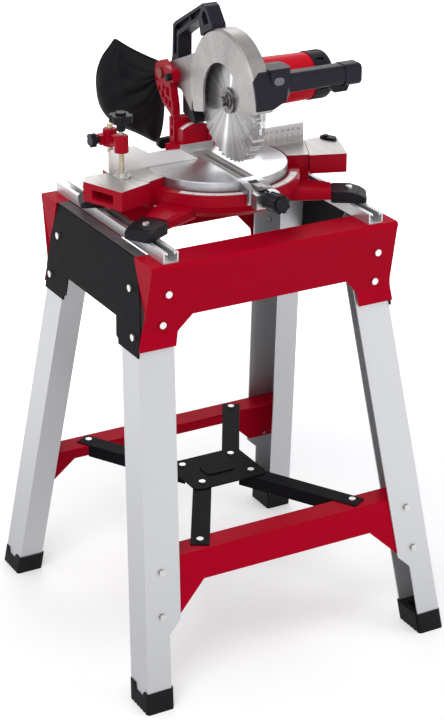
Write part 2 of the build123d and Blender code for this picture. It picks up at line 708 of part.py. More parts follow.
with BuildPart() as clamp_screw:
    bar_z(CLAMP_X, CLAMP_Y, SCREW_R, TABLE_TOP + 4, 862)
    # shallow grooves stand for the thread
    with BuildSketch(Plane.XZ.offset(-CLAMP_Y)) as groove:
        with Locations(*[(CLAMP_X + SCREW_R, TABLE_TOP + 8 + 2.5 * turn) for turn in range(28)]):
            Rectangle(0.9, 0.9, rotation=45)
    revolve(groove.sketch, axis=Axis((CLAMP_X, CLAMP_Y, 0), (0, 0, 1)), mode=Mode.SUBTRACT)
save(clamp_screw.part, "clamp_screw")

with BuildPart() as clamp_knob:
    bar_z(CLAMP_X, CLAMP_Y, 7, 851, 866)
    lobed_knob(Plane(origin=(CLAMP_X, CLAMP_Y, 864)), 4, 18, 6, 12)
    with Locations(Plane(origin=(CLAMP_X, CLAMP_Y, 876))):
        Cylinder(8, 4, align=(Align.CENTER, Align.CENTER, Align.MIN))
    bar_z(CLAMP_X, CLAMP_Y, SCREW_R, 850, 862, Mode.SUBTRACT)
save(clamp_knob.part, "clamp_knob")

with BuildPart() as clamp_pad:
    bar_z(CLAMP_X, CLAMP_Y, 14, TABLE_TOP + SLIDING, TABLE_TOP + 3)
    bar_z(CLAMP_X, CLAMP_Y, 7.5, TABLE_TOP + 3, TABLE_TOP + 9)
    bar_z(CLAMP_X, CLAMP_Y, SCREW_R, TABLE_TOP + 4, TABLE_TOP + 20, Mode.SUBTRACT)
save(clamp_pad.part, "clamp_pad")

# ---------------------------------------------------------------------------
# Table wings
# ---------------------------------------------------------------------------

seam_dx = SEAM_REAR[0] - SEAM_FRONT[0]
seam_dy = SEAM_REAR[1] - SEAM_FRONT[1]
seam_length = sqrt(seam_dx**2 + seam_dy**2)


def seam_point(along):
    """A point on the wing's side of the seam, measured from the front of the fixed table."""
    x = SEAM_FRONT[0] + (seam_dx * along + seam_dy * SEAM) / seam_length
    y = SEAM_FRONT[1] + (seam_dy * along - seam_dx * SEAM) / seam_length
    return x, y


WING_OUTER = [(198.0, -69.0), (227.0, 6.0), (216.0, 26.0)]


def wing_part():
    """The right table wing: a casting with a grip recess in its end, on two guide rods."""
    with BuildPart() as wing:
        block_z([seam_point(-4), *WING_OUTER, seam_point(seam_length - 1)], WING_BOTTOM, TABLE_TOP)
        # grip recess in the outer end
        ex = WING_OUTER[1][0] - WING_OUTER[0][0]
        ey = WING_OUTER[1][1] - WING_OUTER[0][1]
        middle = ((WING_OUTER[0][0] + WING_OUTER[1][0]) / 2, (WING_OUTER[0][1] + WING_OUTER[1][1]) / 2, 760)
        with BuildSketch(Plane(origin=middle, x_dir=(ex, ey, 0), z_dir=(ey, -ex, 0))) as grip:
            RectangleRounded(44, 15, 3)
        extrude(grip.sketch, amount=-18, mode=Mode.SUBTRACT)
        # lugs under the wing carry the rods
        for y in ROD_Y:
            box(182, 200, y - 8, y + 8, ROD_Z - ROD_R - 2, WING_BOTTOM + 1)
            bar_x(y, ROD_Z, ROD_R, 50, 190)
    return wing.part


wing_right = wing_part()
wing_left = mirror(wing_right, about=Plane.YZ)
STOP_PIN = (209.0, 15.0)  # upright pin the end stop swings on
with BuildPart() as wing_right_bored:
    add(wing_right)
    bar_z(*STOP_PIN, 2 + RUNNING, TABLE_TOP - 14, TABLE_TOP + 1, Mode.SUBTRACT)
save(wing_right_bored.part, "wing_right")
save(wing_left, "wing_left")

with BuildPart() as end_stop:
    tip = [(202, 22), (214, 22), (223, 6), (219, -4), (212, -4), (203, 10)]
    block_z(tip, TABLE_TOP + SLIDING, TABLE_TOP + 4, radius=2)
    bar_z(*STOP_PIN, 2, TABLE_TOP - 13, TABLE_TOP + 5.5)
    bar_z(*STOP_PIN, 4.5, TABLE_TOP + 4, TABLE_TOP + 6)
save(end_stop.part, "end_stop")

# ---------------------------------------------------------------------------
# Turntable
# ---------------------------------------------------------------------------

KERF_HALF = 14.0  # half width of the kerf insert
KERF_Y = (-96.0, 54.0)
INSERT_Z = 772.0
SLOT_HALF = 4.0  # half width of the slot the blade runs in
FORK_HALF = 20.0
BRACKET_Y = (62.0, 84.0)  # front and rear faces of the bevel bracket
BEVEL_PIN_R = 9.0
COLUMN_Y = (84.3, 112.0)  # the tilting column's hub, front and rear
KNOB_TILT = 7.5  # degrees that the mitre lock's axis rises towards the user
FORK_END = APRON_R + 33.0  # how far the fork reaches from the table's axis
KNOB_START = (0.0, -APRON_R - 1.0, 756.0)
LEVER_AXIS = (-APRON_R + 7.0, 772.5)  # (y, z) of the detent lever's pin

knob_direction = (0, -cos(radians(KNOB_TILT)), sin(radians(KNOB_TILT)))
knob_plane = Plane(origin=KNOB_START, x_dir=(1, 0, 0), z_dir=knob_direction)

with BuildPart() as turntable:
    table_section = [
        (0, TABLE_TOP), (TABLE_R - 1.5, TABLE_TOP), (TABLE_R, TABLE_TOP - 1.5), (TABLE_R, BOWL_FLOOR + SLIDING),
        (TABLE_R - 6, BOWL_FLOOR + SLIDING), (TABLE_R - 6, TABLE_TOP - 9), (26, TABLE_TOP - 9),
        (26, BOWL_FLOOR + SLIDING), (12 - RUNNING, BOWL_FLOOR + SLIDING), (12 - RUNNING, 732), (0, 732),
    ]
    with BuildSketch(Plane.XZ):
        with BuildLine():
            Polyline(*table_section, close=True)
        make_face()
    revolve(axis=Axis.Z)
    # ribs under the top
    for angle in range(30, 360, 60):
        a = cos(radians(angle))
        b = sin(radians(angle))
        end = TABLE_R - 4
        rib = [(22 * a - 2 * b, 22 * b + 2 * a), (end * a - 2 * b, end * b + 2 * a),
               (end * a + 2 * b, end * b - 2 * a), (22 * a + 2 * b, 22 * b - 2 * a)]
        block_z(rib, BOWL_FLOOR + 6, TABLE_TOP - 8)
    # seat of the insert and the slot under it
    box(-KERF_HALF - SEAT, KERF_HALF + SEAT, *KERF_Y, INSERT_Z, TABLE_TOP + 1, Mode.SUBTRACT)
    box(-SLOT_HALF, SLOT_HALF, -92, 38, BOWL_FLOOR, TABLE_TOP, Mode.SUBTRACT)
    # flat rear, so that the bevel hub can turn behind it
    box(-82, 82, BRACKET_Y[1], 130, 740, TABLE_TOP + 1, Mode.SUBTRACT)
    # the fork that reaches over the scale to the mitre lock
    arm = [
        (31 - APRON_R, TABLE_TOP), (13 - APRON_R, TABLE_TOP - 0.5), (-APRON_R - 9, TABLE_TOP - 6),
        (-FORK_END, TABLE_TOP - 7), (-FORK_END, 748), (-APRON_R - 7, 746), (-APRON_R - 2, 748),
        (-APRON_R - 2, SCALE_Z + 1.4), (31 - APRON_R, SCALE_Z + 1.4),
    ]
    block_x(arm, -FORK_HALF, FORK_HALF)
    box(-8, 8, -FORK_END + 7, 19 - APRON_R, 768, TABLE_TOP + 1, Mode.SUBTRACT)
    # waist between the two horns of the fork
    for side in (-1, 1):
        near, far = sorted((side * 15, side * 30))
        box(near, far, -APRON_R - 17, -APRON_R - 5, 735, TABLE_TOP + 1, Mode.SUBTRACT, radius=3)
    disc(knob_plane, 4 + RUNNING, 40, Mode.SUBTRACT)
    bar_x(*LEVER_AXIS, 2 + RUNNING, -FORK_HALF + 4, FORK_HALF - 4, Mode.SUBTRACT)
save(turntable.part, "turntable")

with BuildPart() as kerf_insert:
    box(-KERF_HALF, KERF_HALF, *KERF_Y, INSERT_Z, TABLE_TOP - 0.3)
    box(-SLOT_HALF, SLOT_HALF, -92, 38, INSERT_Z - 1, TABLE_TOP + 1, Mode.SUBTRACT)
    for side in (-1, 1):
        near, far = sorted((side * 9, side * 10.5))
        box(near, far, -90, 36, TABLE_TOP - 1.2, TABLE_TOP + 1, Mode.SUBTRACT)
    with Locations(*[(0, y, TABLE_TOP - 0.3) for y in (-93.8, 46)]):
        Hole(1.2, depth=3)
save(kerf_insert.part, "kerf_insert")

with BuildPart() as mitre_knob:
    disc(knob_plane, 4, 44)
    disc(knob_plane.offset(34.5), 11, 8)
    lobed_knob(knob_plane.offset(38), 8, 15, 3, 34)
    disc(knob_plane.offset(72), 11, 6)
    chamfer(mitre_knob.faces().sort_by(Axis.Y)[0].edges(), 2)
save(mitre_knob.part, "mitre_knob")

with BuildPart() as detent_lever:
    pin_y = LEVER_AXIS[0]
    side_view = [
        (pin_y + 6, 769), (pin_y + 6, 774), (pin_y - 5, 777), (pin_y - 22, 777), (pin_y - 32, 781),
        (pin_y - 39, 781), (pin_y - 39, 778), (pin_y - 26, 772.5), (pin_y - 8, 769),
    ]
    block_x(side_view, -7, 7)
    bar_x(*LEVER_AXIS, 2, -15, 15)
save(detent_lever.part, "detent_lever")

BARREL_R = 43.0  # radius of the bevel scale about the tilt axis
BARREL_HALF = 26.0
barrel_angle = degrees(acos(BARREL_HALF / BARREL_R))


def barrel_section(plane):
    """The bracket's middle: straight sides up to a round top about the tilt axis."""
    with BuildSketch(plane) as section:
        with BuildLine():
            top = CenterArc((0, TABLE_TOP), BARREL_R, barrel_angle, 180 - 2 * barrel_angle)
            Polyline(top @ 0, (BARREL_HALF, TABLE_TOP), (-BARREL_HALF, TABLE_TOP), top @ 1)
        make_face()
    return section.sketch


with BuildPart() as bevel_bracket:
    y1, y2 = BRACKET_Y
    block_z([(-26, y1), (26, y1), (46, y2), (-46, y2)], TABLE_TOP, TABLE_TOP + 11)
    extrude(barrel_section(Plane.XZ.offset(-y1)), amount=y1 - y2)
    # front recess with the two fixing screws' seats
    box(-19, 19, y1 - 1, y1 + 3, TABLE_TOP + 13, TABLE_TOP + 32, Mode.SUBTRACT)
    bar_y(0, TABLE_TOP, BEVEL_PIN_R, y2, 126)
save(bevel_bracket.part, "bevel_bracket")

# ---------------------------------------------------------------------------
# Tilting column
# ---------------------------------------------------------------------------

HUB_R = 20.0
CHEEK_LEFT = (-30.0, -17.3)
CHEEK_RIGHT = (10.0, 22.0)
COLUMN_BACK = 101.0  # rear face of the column's body
SHAFT_R = 6.0
SHAFT_HEAD_R = 9.0
LOCK_PIN = (94.0, 892.0)  # (y, z) of the head's lock pin
LOCK_PIN_R = 3.0
CHEEK = [
    (84.3, 790), (101, 793), (96, 830), (108, 836), (123, 843), (143, 866), (150, 885), (146, 902),
    (129, 911), (112, 905), (98, 885), (88, 845),
]
CHEEK_POCKETS = [  # (y, z, width, height) of the hollows in the outer faces
    (92.5, 802, 8, 12), (91.5, 820, 6, 14), (98, 846, 9, 12), (110, 849, 9, 10), (122, 857, 9, 12),
    (105, 865, 10, 14), (118, 869, 8, 8), (134, 864, 7, 8), (141, 880, 7, 12),
]
POCKET_DEPTH = 3.0

with BuildPart() as bevel_column:
    y1, y2 = COLUMN_Y
    tangent = HUB_R / sqrt(2)
    outer = CHEEK_LEFT[0]
    inner = CHEEK_RIGHT[1]
    body = [
        (-tangent, TABLE_TOP - tangent), (outer, TABLE_TOP - outer - 2 * tangent), (outer, 826), (inner, 826),
        (inner, TABLE_TOP), (tangent, TABLE_TOP - tangent),
    ]
    block_y(body, y1, COLUMN_BACK)
    bar_y(0, TABLE_TOP, HUB_R, y1, y2)
    for x1, x2 in (CHEEK_LEFT, CHEEK_RIGHT):
        block_x(CHEEK, x1, x2)
    # lug that carries the head's lock pin
    block_x([(86, 884), (86, 899), (91, 903), (112, 905), (104, 880)], *CHEEK_LEFT)
    # waffle of pockets in the outer face of each cheek
    for y, z, wide, high in CHEEK_POCKETS:
        pocket = [(y - wide / 2, z - high / 2 - 1), (y + wide / 2, z - high / 2 + 1),
                  (y + wide / 2, z + high / 2 + 1), (y - wide / 2, z + high / 2 - 1)]
        block_x(pocket, outer - 1, outer + POCKET_DEPTH, Mode.SUBTRACT)
        block_x(pocket, inner - POCKET_DEPTH, inner + 1, Mode.SUBTRACT)
    bar_y(0, TABLE_TOP, BEVEL_PIN_R + RUNNING, y1 - 1, y2 + 1, Mode.SUBTRACT)
    bar_x(PIVOT_Y, PIVOT_Z, SHAFT_R + SEAT, outer - 1, inner + 1, Mode.SUBTRACT)
    bar_x(*LOCK_PIN, LOCK_PIN_R + RUNNING, outer - 1, CHEEK_LEFT[1] + 1, Mode.SUBTRACT)
save(bevel_column.part, "bevel_column")

with BuildPart() as pivot_shaft:
    bar_x(PIVOT_Y, PIVOT_Z, SHAFT_R, CHEEK_LEFT[0], CHEEK_RIGHT[1])
    bar_x(PIVOT_Y, PIVOT_Z, SHAFT_HEAD_R, CHEEK_LEFT[0] - 3, CHEEK_LEFT[0])
    bar_x(PIVOT_Y, PIVOT_Z, SHAFT_HEAD_R, CHEEK_RIGHT[1], CHEEK_RIGHT[1] + 3)
save(pivot_shaft.part, "pivot_shaft")

with BuildPart() as head_lock_pin:
    bar_x(*LOCK_PIN, LOCK_PIN_R, -36, CHEEK_LEFT[1] - 0.3)
    bar_x(*LOCK_PIN, 6, -39, -31)
    chamfer(head_lock_pin.faces().sort_by(Axis.X)[0].edges(), 1)
save(head_lock_pin.part, "head_lock_pin")

with BuildPart() as bevel_lever:
    bar_y(0, TABLE_TOP, 14, COLUMN_Y[1] + SLIDING, 124)
    handle = [(-8, 767), (-8, 787), (-38, 785), (-43, 780), (-43, 774), (-38, 769)]
    block_y(handle, 114, 123)
    bar_y(0, TABLE_TOP, BEVEL_PIN_R + RUNNING, 105, 130, Mode.SUBTRACT)
save(bevel_lever.part, "bevel_lever")

# ---------------------------------------------------------------------------
# Saw head: casting with the upper guard
# ---------------------------------------------------------------------------

GUARD_Y = -50.0  # centre of the upper guard's round outline, a little ahead of the blade's axis
GUARD_Z = 893.0
GUARD_R = 104.0
CAVITY_R = 99.5  # room for the lower guard, about the blade's axis
GUARD_WALL = 3.5
GUARD_LEFT = -17.0
GUARD_RIGHT = 12.0
GUARD_BACK_ANGLE = 27.0  # where the round part ends at the rear
ARCH_R = 58.5  # opening in the left wall
ARCH_Y = -48.0
ARCH_Z = 887.0
HEAD_ARM = (GUARD_LEFT, 9.7)  # sides of the head's arm between the column's cheeks
NECK_R = 22.9  # neck the lower guard turns on
NECK_START = 5.3
SPINDLE_R = 6.0
BOSS_R = 14.0
SHELL_LOW = (50.0, 846.0)  # (y, z) where the guard's lower edge meets the arm


def polar(radius, angle, centre=(BLADE_Y, BLADE_Z)):
    """A point in the blade's side view at a radius and an angle in degrees from straight back."""
    return centre[0] + radius * cos(radians(angle)), centre[1] + radius * sin(radians(angle))


with BuildPart() as upper_guard:
    # the round shell over the blade, chamfered on its left, then its straight rear
    bar_x(GUARD_Y, GUARD_Z, GUARD_R, GUARD_LEFT, GUARD_RIGHT)
    chamfer(upper_guard.faces().sort_by(Axis.X)[0].edges(), 3.5)
    shell_front = polar(GUARD_R, 180, (GUARD_Y, GUARD_Z))
    shell_rear = polar(GUARD_R, GUARD_BACK_ANGLE, (GUARD_Y, GUARD_Z))
    above = GUARD_Z + GUARD_R + 1
    kept = [shell_front, SHELL_LOW, shell_rear, (shell_rear[0], above), (shell_front[0], above)]
    block_x(kept, GUARD_LEFT, GUARD_RIGHT, Mode.INTERSECT)
    block_x([SHELL_LOW, (62, 861), (64, 931), shell_rear], GUARD_LEFT, GUARD_RIGHT)
    # the arm: full width at the guard, narrow between the cheeks
    block_x([(40.5, 940), (84, 923.4), (84, 871.5), (82.5, 871), SHELL_LOW], GUARD_LEFT, GUARD_RIGHT)
    tongue = [(80, 924.9), (116.5, 911), (PIVOT_Y, PIVOT_Z + BOSS_R), (PIVOT_Y, PIVOT_Z - BOSS_R), (80, 871)]
    block_x(tongue, *HEAD_ARM)
    bar_x(PIVOT_Y, PIVOT_Z, BOSS_R, *HEAD_ARM)
    cavity_left = GUARD_LEFT + GUARD_WALL
    cavity_right = GUARD_RIGHT - GUARD_WALL
    # the round cavity runs out through the open lower edge
    bar_x(GUARD_Y, GUARD_Z, GUARD_R - GUARD_WALL, cavity_left, cavity_right, Mode.SUBTRACT)
    bar_x(BLADE_Y, BLADE_Z, CAVITY_R, cavity_left, cavity_right, Mode.SUBTRACT)
    # arch in the left wall
    bar_x(ARCH_Y, ARCH_Z, ARCH_R, GUARD_LEFT - 1, cavity_left + 1, Mode.SUBTRACT)
    box(GUARD_LEFT - 1, cavity_left + 1, ARCH_Y - ARCH_R, ARCH_Y + ARCH_R, 800, ARCH_Z, Mode.SUBTRACT)
    # dust port through the right wall
    box(cavity_right - 1, GUARD_RIGHT + 1, 26, 50, 858, 880, Mode.SUBTRACT)
    # neck for the lower guard and the spindle's bore
    bar_x(BLADE_Y, BLADE_Z, NECK_R, NECK_START, cavity_right)
    bar_x(BLADE_Y, BLADE_Z, 30, cavity_right, GUARD_RIGHT)
    bar_x(BLADE_Y, BLADE_Z, SPINDLE_R + RUNNING, 0, 40, Mode.SUBTRACT)
    bar_x(PIVOT_Y, PIVOT_Z, SHAFT_R + RUNNING, -40, 30, Mode.SUBTRACT)
save(upper_guard.part, "upper_guard")

# ---------------------------------------------------------------------------
# Saw head: blade and lower guard
# ---------------------------------------------------------------------------

BLADE_THICK = 2.6
TEETH = 48
TOOTH_DEPTH = 4.0
FLANGE_R = 20.0
FLANGE_X = 5.0  # outer faces of both flanges, measured from the blade's middle
BOLT_FACE = -9.5  # where the arbor bolt's washer ends and its head starts

with BuildPart() as blade:
    pitch = 360 / TEETH
    rim = []
    for tooth in range(TEETH):
        start = tooth * pitch
        rim.append(polar(BLADE_R - TOOTH_DEPTH, start))
        rim.append(polar(BLADE_R - 1, start + 0.45 * pitch))
        rim.append(polar(BLADE_R, start + 0.75 * pitch))
        rim.append(polar(BLADE_R - TOOTH_DEPTH, start + 0.8 * pitch))
    block_x(rim, -BLADE_THICK / 2, BLADE_THICK / 2)
    bar_x(BLADE_Y, BLADE_Z, SPINDLE_R + SEAT, -5, 5, Mode.SUBTRACT)
    # expansion slots, each with a round end
    for slot in range(4):
        angle = 45 + 90 * slot
        spoke = [polar(BLADE_R - 22, angle - 0.5), polar(BLADE_R - 2, angle - 0.4),
                 polar(BLADE_R - 2, angle + 0.4), polar(BLADE_R - 22, angle + 0.5)]
        block_x(spoke, -5, 5, Mode.SUBTRACT)
        bar_x(*polar(BLADE_R - 22, angle), 2, -5, 5, Mode.SUBTRACT)
save(blade.part, "blade")

with BuildPart() as arbor_flange:
    bar_x(BLADE_Y, BLADE_Z, FLANGE_R, -FLANGE_X, -BLADE_THICK / 2)
    bar_x(BLADE_Y, BLADE_Z, 13, -7.5, -FLANGE_X)
    chamfer(arbor_flange.faces().sort_by(Axis.X)[0].edges(), 1)
    bar_x(BLADE_Y, BLADE_Z, SPINDLE_R + SEAT, -9, 0, Mode.SUBTRACT)
save(arbor_flange.part, "arbor_flange")

with BuildPart() as arbor_bolt:
    place = Plane(origin=(BOLT_FACE, BLADE_Y, BLADE_Z), x_dir=(0, 1, 0), z_dir=(-1, 0, 0))
    with BuildSketch(place) as head:
        RegularPolygon(6.5, 6, major_radius=False)
    extrude(head.sketch, amount=6)
    bar_x(BLADE_Y, BLADE_Z, 10, BOLT_FACE, -7.5)
save(arbor_bolt.part, "arbor_bolt")

LOWER_R = 98.0
LOWER_IN = 62.0  # inner edge of the left wall
LOWER_ANGLES = (45.0, 232.0)  # drawn back into the upper guard, as it is when the head is low
LOWER_RIM = 1.2  # thickness of the clear rim
LOWER_LEFT = (-9.5, -8.3)
LOWER_RIGHT = (6.5, 8.0)


def sector(plane, inner, outer, angles):
    """A ring sector about the blade's axis."""
    first, last = angles
    centre = (BLADE_Y, BLADE_Z)
    with BuildSketch(plane) as shape:
        with BuildLine():
            big = CenterArc(centre, outer, first, last - first)
            small = CenterArc(centre, inner, first, last - first)
            Line(big @ 0, small @ 0)
            Line(big @ 1, small @ 1)
        make_face()
    return shape.sketch


with BuildPart() as lower_guard:
    left = Plane.YZ.offset(LOWER_LEFT[0])
    right = Plane.YZ.offset(LOWER_RIGHT[0])
    extrude(sector(left, LOWER_IN, LOWER_R, LOWER_ANGLES), amount=LOWER_LEFT[1] - LOWER_LEFT[0])
    extrude(sector(left, LOWER_R - LOWER_RIM, LOWER_R, LOWER_ANGLES), amount=LOWER_RIGHT[1] - LOWER_LEFT[0])
    extrude(sector(right, NECK_R + 3, LOWER_R, LOWER_ANGLES), amount=LOWER_RIGHT[1] - LOWER_RIGHT[0])
    bar_x(BLADE_Y, BLADE_Z, NECK_R + 7, *LOWER_RIGHT)
    bar_x(BLADE_Y, BLADE_Z, NECK_R + RUNNING, 4, 9, Mode.SUBTRACT)
save(lower_guard.part, "lower_guard")

# ---------------------------------------------------------------------------
# Saw head: motor and gears
# ---------------------------------------------------------------------------

MOTOR_WALL = 3.0
MOTOR_BORE = MOTOR_R - MOTOR_WALL
BARREL_START_R = 39.0  # the barrel tapers towards its rear end
GEAR_CASE = (-50.0, 897.0)  # (y, z) of the round gear case's middle
GEAR_CASE_R = 39.0
GEAR_CASE_END = 28.5
MOTOR_END = 127.0  # where the red housing ends
CAP_END = 160.0
CAP_R = 38.0
GEAR_X = (16.0, 26.0)
GEAR_TEETH = 30
PINION_TEETH = 10
BEARING_PLATE = (29.0, 34.0)
BEARING_R = 11.0
CORE_X = (60.0, 104.0)
ARMATURE_R = 19.0
MOTOR_SHAFT_R = 4.0

centre_distance = sqrt((MOTOR_Y - BLADE_Y) ** 2 + (MOTOR_Z - BLADE_Z) ** 2)
module = 2 * centre_distance / (GEAR_TEETH + PINION_TEETH)
mesh_angle = degrees(atan2(MOTOR_Z - BLADE_Z, MOTOR_Y - BLADE_Y))


def gear_outline(plane, centre, teeth, first_angle):
    """A spur gear's side view with straight flanks; the first tooth points along the first angle."""
    tip = module * (teeth / 2 + 0.55)
    root = module * (teeth / 2 - 0.85)
    pitch_angle = 360 / teeth
    points = []
    for tooth in range(teeth):
        middle = first_angle + tooth * pitch_angle
        for radius, share in ((root, -0.25), (tip, -0.10), (tip, 0.10), (root, 0.25)):
            angle = radians(middle + share * pitch_angle)
            points.append((centre[0] + radius * cos(angle), centre[1] + radius * sin(angle)))
    return outline(plane, points)


def spoke_plane(x, angle, radius, turned=False):
    """A plane across the motor at a radius and angle; its X runs outwards, or round when turned."""
    a = cos(radians(angle))
    b = sin(radians(angle))
    x_dir = (0, -b, a) if turned else (0, a, b)
    return Plane(origin=(x, MOTOR_Y + radius * a, MOTOR_Z + radius * b), x_dir=x_dir, z_dir=(1, 0, 0))


with BuildPart() as spindle:
    bar_x(BLADE_Y, BLADE_Z, SPINDLE_R, -7.5, 28)
    # inner flange, and the driven gear cut on the same blank
    bar_x(BLADE_Y, BLADE_Z, FLANGE_R, BLADE_THICK / 2, FLANGE_X)
    gear = gear_outline(Plane.YZ.offset(GEAR_X[0]), (BLADE_Y, BLADE_Z), GEAR_TEETH, mesh_angle)
    extrude(gear, amount=GEAR_X[1] - GEAR_X[0])
save(spindle.part, "spindle")

with BuildPart() as armature:
    bar_x(MOTOR_Y, MOTOR_Z, MOTOR_SHAFT_R, GEAR_X[1], 144)
    pinion_first = mesh_angle + 180 + 180 / PINION_TEETH
    pinion = gear_outline(Plane.YZ.offset(GEAR_X[0]), (MOTOR_Y, MOTOR_Z), PINION_TEETH, pinion_first)
    extrude(pinion, amount=GEAR_X[1] - GEAR_X[0] + 1)
    # laminated core with winding slots, commutator and cooling fan
    bar_x(MOTOR_Y, MOTOR_Z, ARMATURE_R, *CORE_X)
    for slot in range(12):
        with BuildSketch(spoke_plane(CORE_X[0] - 1, 30 * slot, 17)) as winding:
            Rectangle(8, 3)
        extrude(winding.sketch, amount=CORE_X[1] - CORE_X[0] + 2, mode=Mode.SUBTRACT)
    bar_x(MOTOR_Y, MOTOR_Z, 10, 112, 126)
    bar_x(MOTOR_Y, MOTOR_Z, 28, 47, 49)
    for vane in range(10):
        with BuildSketch(spoke_plane(49, 36 * vane, 19)) as fan_vane:
            Rectangle(16, 1.6)
        extrude(fan_vane.sketch, amount=7)
save(armature.part, "armature")

def motor_barrel(grow, mode):
    """The motor's tapering barrel, or a clearance shape round it."""
    with BuildSketch(Plane(origin=(GUARD_RIGHT, MOTOR_Y, MOTOR_Z), x_dir=(0, 1, 0), z_dir=(1, 0, 0))) as near:
        Circle(BARREL_START_R + grow)
    with BuildSketch(Plane(origin=(MOTOR_END, MOTOR_Y, MOTOR_Z), x_dir=(0, 1, 0), z_dir=(1, 0, 0))) as far:
        Circle(MOTOR_R + grow)
    loft([near.sketch, far.sketch], mode=mode)


with BuildPart() as motor_housing:
    motor_barrel(0, Mode.ADD)
    bar_x(*GEAR_CASE, GEAR_CASE_R, GUARD_RIGHT, GEAR_CASE_END)
    bar_x(*GEAR_CASE, GEAR_CASE_R - MOTOR_WALL, GUARD_RIGHT, GEAR_CASE_END - 1, Mode.SUBTRACT)
    bar_x(MOTOR_Y, MOTOR_Z, MOTOR_BORE, GUARD_RIGHT, MOTOR_END, Mode.SUBTRACT)
    # bearing plate between the gears and the fan
    bar_x(MOTOR_Y, MOTOR_Z, MOTOR_BORE, *BEARING_PLATE)
    bar_x(MOTOR_Y, MOTOR_Z, MOTOR_SHAFT_R + RUNNING, 25, 50, Mode.SUBTRACT)
save(motor_housing.part, "motor_housing")

with BuildPart() as stator:
    x1 = CORE_X[0] - 2
    x2 = CORE_X[1] + 2
    bar_x(MOTOR_Y, MOTOR_Z, MOTOR_BORE - SEAT, x1, x2)
    bar_x(MOTOR_Y, MOTOR_Z, ARMATURE_R + 0.8, x1, x2, Mode.SUBTRACT)
    # winding spaces above and below the armature
    for side in (-1, 1):
        low, high = sorted((MOTOR_Z + side * 21, MOTOR_Z + side * 28))
        box(x1 - 1, x2 + 1, MOTOR_Y - 15, MOTOR_Y + 15, low, high, Mode.SUBTRACT)
save(stator.part, "stator")

with BuildPart() as motor_end_cap:
    bar_x(MOTOR_Y, MOTOR_Z, CAP_R, MOTOR_END, CAP_END)
    fillet(motor_end_cap.faces().sort_by(Axis.X)[-1].edges(), 9)
    bar_x(MOTOR_Y, MOTOR_Z, MOTOR_BORE, MOTOR_END, CAP_END - 12, Mode.SUBTRACT)
    # rear bearing carrier, held by four webs
    bar_x(MOTOR_Y, MOTOR_Z, BEARING_R, 136, CAP_END - 11)
    for angle in (0, 90):
        with BuildSketch(spoke_plane(136, angle, 0)) as web:
            Rectangle(2 * MOTOR_BORE, 3)
        extrude(web.sketch, amount=6)
    bar_x(MOTOR_Y, MOTOR_Z, MOTOR_SHAFT_R + RUNNING, 135, 146, Mode.SUBTRACT)
    # air slots round the cap
    for slot in range(10):
        with BuildSketch(spoke_plane(133, 36 * slot + 18, CAP_R, turned=True)) as vent:
            Rectangle(4, 8)
        extrude(vent.sketch, amount=14, mode=Mode.SUBTRACT)
    # raised gland of the supply cable, with its plain round hole
    bar_x(MOTOR_Y, MOTOR_Z - 20, 8, CAP_END - 12, CAP_END + 1.5)
    bar_x(MOTOR_Y, MOTOR_Z - 20, 4.5, CAP_END - 15, CAP_END + 3, Mode.SUBTRACT)
save(motor_end_cap.part, "motor_end_cap")

# ---------------------------------------------------------------------------
# Saw head: handles
# ---------------------------------------------------------------------------

HEAD_FRONT = GUARD_Y - GUARD_R  # front end of the upper guard
GRIP_Y = (HEAD_FRONT + 17.0, HEAD_FRONT + 48.0)
GRIP_Z = (911.0, 941.0)
GRIP_START = 50.0
GRIP_END = 179.0
TRIGGER_X = (112.0, 172.0)
TRIGGER_Y = (HEAD_FRONT + 27.0, HEAD_FRONT + 40.0)
TRIGGER_PIN = (118.0, 921.0)  # (x, z)
BLOCK_FRONT = HEAD_FRONT + 5.0
BLOCK_REAR = MOTOR_Y - BARREL_START_R - 0.3
LOCK_BUTTON = (25.0, 937.0)  # (x, z) of the lock-off button
COVER_R = GUARD_R + 4.0  # outside of the block's cover over the guard's rim

